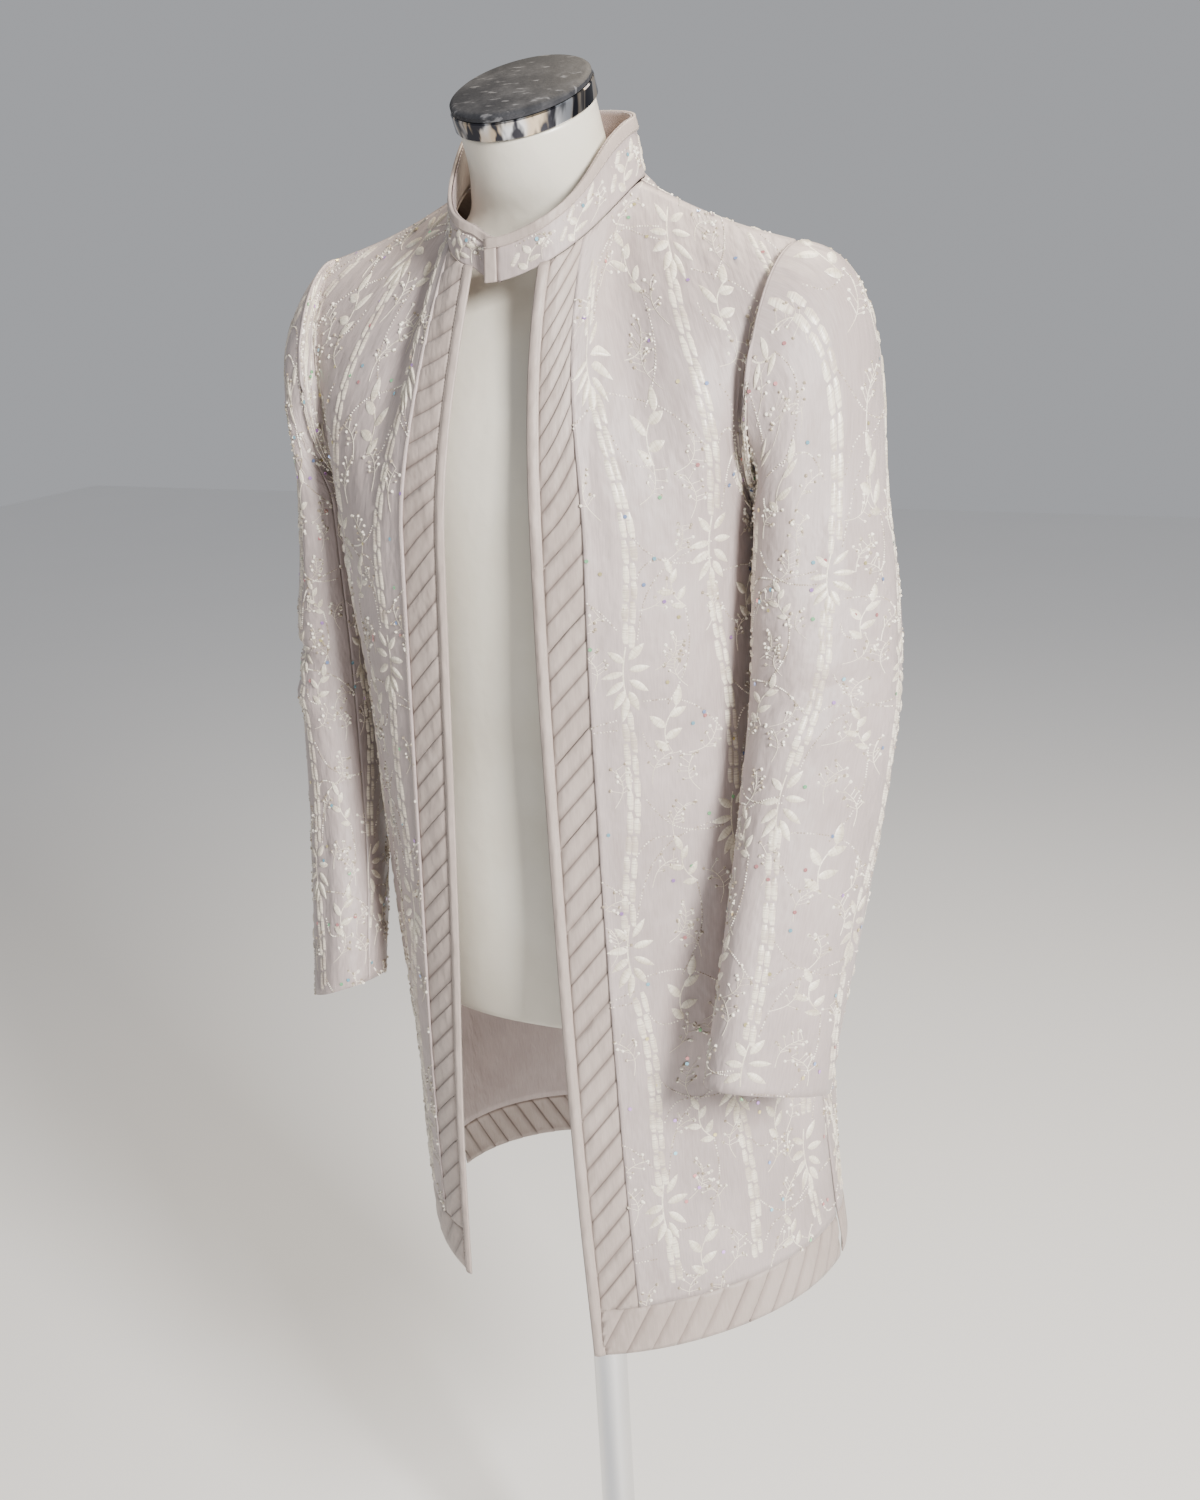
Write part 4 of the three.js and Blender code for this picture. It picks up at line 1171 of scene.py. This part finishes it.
class Embroiderer:
    """Works the all-over design on one piece of cloth."""

    trunk_spacing = 0.08
    repeat, stagger = 0.222, 0.096
    bead_spacing, sprig_length, spray_length = 0.0023, 0.036, 0.03
    block_reach, cluster_clear, column_apart = 0.0155, 0.026, 0.0029
    # Each leaf of a cluster: foot across and up, direction in degrees from straight right, and size.
    cluster_leaves = [(-0.0015, 0.012, 136, 0.85), (0.002, 0.014, 48, 0.95), (-0.002, 0.004, 186, 0.95),
                      (0.002, 0.006, 2, 0.95), (-0.002, -0.003, 216, 1.0), (0.002, -0.002, -34, 1.05),
                      (-0.0015, -0.01, 242, 1.0), (0.0015, -0.011, -64, 1.0), (0.0, -0.016, -96, 1.05)]
    # Each leaf of a sprig: share of its stem, degrees aside, and size.
    sprig_leaves = [(0.08, 62, 0.8), (0.34, -52, 0.85), (0.52, 55, 0.9), (0.76, -48, 0.85), (1.0, 4, 0.95)]
    # Each sprig of a repeat: share of the way to the next trunk, how far up, direction and size.
    sprigs = [(0.4, -0.062, 78, 1.0), (0.62, 0.052, 112, 0.8)]
    # Each spray of a repeat: share of the way to the next trunk, how far up, direction and berries.
    sprays = [(0.3, 0.004, 62, 12), (0.62, -0.012, 118, 9), (0.42, 0.088, 70, 11), (0.22, -0.088, 58, 8),
              (0.7, -0.098, 100, 10), (0.16, 0.052, 40, 6), (0.84, 0.03, 96, 9), (0.6, -0.066, 50, 8)]
    # Each vine of a repeat: foot beside the trunk and up, tip across and up, and bend.
    vines = [(0.007, 0.03, 0.072, 0.1, 0.2), (0.008, -0.046, 0.032, -0.062, -0.25),
             (0.01, -0.02, 0.0752, -0.05, 0.16), (0.008, -0.1, 0.072, -0.13, -0.18),
             (0.007, 0.075, 0.0352, 0.09, 0.22)]
    sequin_tints = (0.0, 0.13, 0.36, 0.55, 0.62, 0.76)
    sequin_count = 9

    def __init__(self, name, laid):
        self.chance = random.Random(name)
        self.near = self.chance.uniform
        self.name = name
        self.satin, self.beads, self.sequins = Stitching(laid), Stitching(laid), Stitching(laid)

    def stem(self, path, width=1.0):
        for start, end in zip(path, path[1:]):
            run = end - start
            self.satin.bent(stem_motif, start, math.atan2(run.y, run.x), run.length / 0.0038, width)

    def vine(self, start, end, bend):
        run = Vector(end) - Vector(start)
        for place in bow(start, run, bend, max(int(run.length * 1.08 / self.bead_spacing), 2)):
            self.beads.stiff(bead_motif, place)

    def cluster(self, across, up):
        for beside, above, turn, size in self.cluster_leaves:
            turn = math.radians(turn + self.near(-9, 9))
            size *= self.near(0.92, 1.08)
            self.satin.bent(leaf_motif, (across + beside, up + above), turn, size, self.near(0.7, 0.92))
        self.stem(bow((across, up - 0.022), (0.0, 0.046), 0.06, 6), 1.3)

    def sprig(self, place, turn, size=1.0):
        path = bow(place, heading(turn) * self.sprig_length * size, 0.16, 8)
        self.stem(path)
        for share, aside, long in self.sprig_leaves:
            foot = path[min(int(share * 8), 8)]
            self.satin.bent(leaf_motif, foot, turn + math.radians(aside + self.near(-8, 8)), long * size,
                            0.92 * size)

    def spray(self, place, turn, berries=10, size=1.0):
        path = bow(place, heading(turn) * self.spray_length * size, self.chance.choice((-0.2, 0.2)), 10)
        self.stem(path, 0.6)
        for berry in range(berries):
            foot = path[4 + berry * 7 // berries]
            aside = turn + math.radians(self.near(35, 80) * (1 if berry % 2 else -1))
            tip = foot + heading(aside) * self.near(0.005, 0.01) * size
            self.stem([foot, foot.lerp(tip, 0.5), tip], 0.45)
            self.beads.stiff(berry_motif, tip, size=self.near(0.85, 1.15))

    def trunk(self, across, low, high, clusters, phase):
        """Two columns of satin blocks side by side, broken where the leaf clusters grow."""
        for column in (-self.column_apart, self.column_apart):
            up = low - self.near(0.0, 0.012)
            while up < high:
                long = self.near(0.013, 0.02)
                bend = self.sway(up, phase)
                if all(abs(up + long / 2 - cluster) > self.cluster_clear for cluster in clusters):
                    foot = (across + bend + column + self.near(-0.0008, 0.0008), up)
                    lean = math.pi / 2 - (self.sway(up + 0.01, phase) - bend) / 0.01
                    self.satin.bent(block_motif, foot, lean, long / self.block_reach, self.near(0.85, 1.05))
                up += long + 0.0003

    def sway(self, up, phase):
        return 0.0055 * math.sin(up * 13.0 + phase) + 0.003 * math.sin(up * 31.0 + 2 * phase)

    def work(self, first_trunk, first_cluster, low, high):
        """The design between two places across and two up the cloth."""
        trunks = int((high[0] - first_trunk) / self.trunk_spacing) + 1
        for trunk in range(-1, trunks):
            across = first_trunk + trunk * self.trunk_spacing
            phase = trunk * 1.9
            base = first_cluster + (self.stagger if trunk % 2 else 0.0)
            clusters = [base + self.repeat * k for k in range(-1, 6)]
            if low[0] <= across <= high[0]:
                self.trunk(across, low[1], high[1], clusters, phase)
            for cluster in clusters:
                self.fill(across, cluster + self.near(-0.004, 0.004), phase)

    def fill(self, across, cluster, phase):
        """One repeat: a cluster on its trunk and what grows from there towards the next trunk."""
        step = self.trunk_spacing
        self.cluster(across + self.sway(cluster, phase), cluster)
        for share, up, turn, size in self.sprigs:
            self.sprig((across + step * share, cluster + up), math.radians(turn), size)
        for share, up, turn, berries in self.sprays:
            turn += self.near(-14, 14)
            self.spray((across + step * share, cluster + up), math.radians(turn), berries)
        side = across + self.sway(cluster + 0.03, phase)
        for beside, low, over, high, bend in self.vines:
            self.vine((side + beside, cluster + low), (across + over, cluster + high), bend)
        self.vine((across + step * 0.42, cluster - 0.024), (across + step * 0.62, cluster + 0.052), -0.12)
        for _ in range(self.sequin_count):
            place = (across + self.near(0.0, step), cluster + self.near(-self.repeat / 2, self.repeat / 2))
            self.sequins.stiff(sequin_motif, place, self.chance.choice(self.sequin_tints))

    def joined(self):
        return [self.satin.joined(f"satin_stitches_{self.name}", thread),
                self.beads.joined(f"knots_{self.name}", bead_thread),
                self.sequins.joined(f"sequins_{self.name}", sequin)]


def embroider(name, laid, first_trunk, first_cluster):
    """Works the design on one piece of cloth, from its first trunk and its lowest leaf cluster."""
    hand = Embroiderer(name, laid)
    hand.work(first_trunk, first_cluster, laid.low, laid.high)
    return hand.joined()


front_work = {side: embroider(f"front_{name}", fronts[side][1], 0.071, 0.116)
              for side, name in side_name.items()}
embroider("back", back_laid, -0.28, 0.09)
for part, side, first_trunk, first_cluster, flat, area in (
        ("upper", 1, -0.114, 0.145, (0.25, 0.68), 0.136), ("under", 1, 0.046, 0.145, (0.13, 0.56), 0.061),
        ("upper", -1, -0.126, 0.12, (0.25, 0.68), 0.119), ("under", -1, -0.206, 0.12, (0.13, 0.56), 0.057)):
    piece, laid = sleeves[part, side]
    embroider(f"{part}_sleeve_{side_name[side]}", laid, first_trunk, first_cluster)

# The collar's own narrow design: a trunk, a sprig, a spray and a vine in each of eleven repeats.
hand = Embroiderer("collar", collars["collar"][1])
for step in range(11):
    across = 0.014 + 0.038 * step
    for rise in range(3):
        place = (across + rise * 0.0065 - 0.004, rise * 0.0115 - 0.003)
        hand.satin.bent(block_motif, place, math.radians(60), 0.7, 0.75)
    hand.sprig((across + 0.012, 0.002), math.radians(58), 0.62)
    hand.spray((across + 0.024, 0.004), math.radians(66), 7, 0.62)
    hand.vine((across + 0.006, 0.024), (across + 0.034, 0.012), 0.25)
    hand.sequins.stiff(sequin_motif, (across + 0.02, 0.022), 0.55)
hand.joined()

# ---- topstitching
# Lockstitch in silk-coloured thread: beside each front's folded edge and edge strip, and along the
# lower edge of the collar's binding.

topstitch_step = 0.0032
topstitch_thread = Finish("topstitch_thread", (0.4, 0.335, 0.3), 0.45)
twist = topstitch_thread.noise(topstitch_thread.place(), 900.0, 1.0)
topstitch_thread.tinted(twist, (0.32, 0.265, 0.235), (0.52, 0.45, 0.4))


def topstitch(name, laid, path):
    """A row of stitches along places on the flat cloth, one stitch for each."""
    row = Stitching(laid)
    for start, end in zip(path, path[1:]):
        run = Vector(end) - Vector(start)
        row.bent(stem_motif, start, math.atan2(run.y, run.x), 0.58, 0.55)
    return row.joined(name, topstitch_thread)


def straight_row(across, low, high):
    return bow((across, low), (0.0, high - low), 0.0, int((high - low) / topstitch_step))


fold_inset, strip_inset = 0.0022, 0.0018
for side, name in side_name.items():
    piece, laid = fronts[side]
    row = topstitch(f"topstitch_front_{name}", laid,
                    straight_row(band_edge + fold_inset, laid.low.y, laid.high.y))
    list(front_work[side])
    piece, laid = strips[side]
    row = topstitch(f"topstitch_strip_{name}", laid,
                    straight_row(edge_width - strip_inset, 0.002, laid.high.y))
piece, laid = collars["collar_binding"]
binding_steps = int(collar_length / topstitch_step)
binding_row = [collar_flat(step / binding_steps, 1 - bind_share * 0.86) for step in range(binding_steps + 1)]
row = topstitch("topstitch_collar_binding", laid, binding_row)
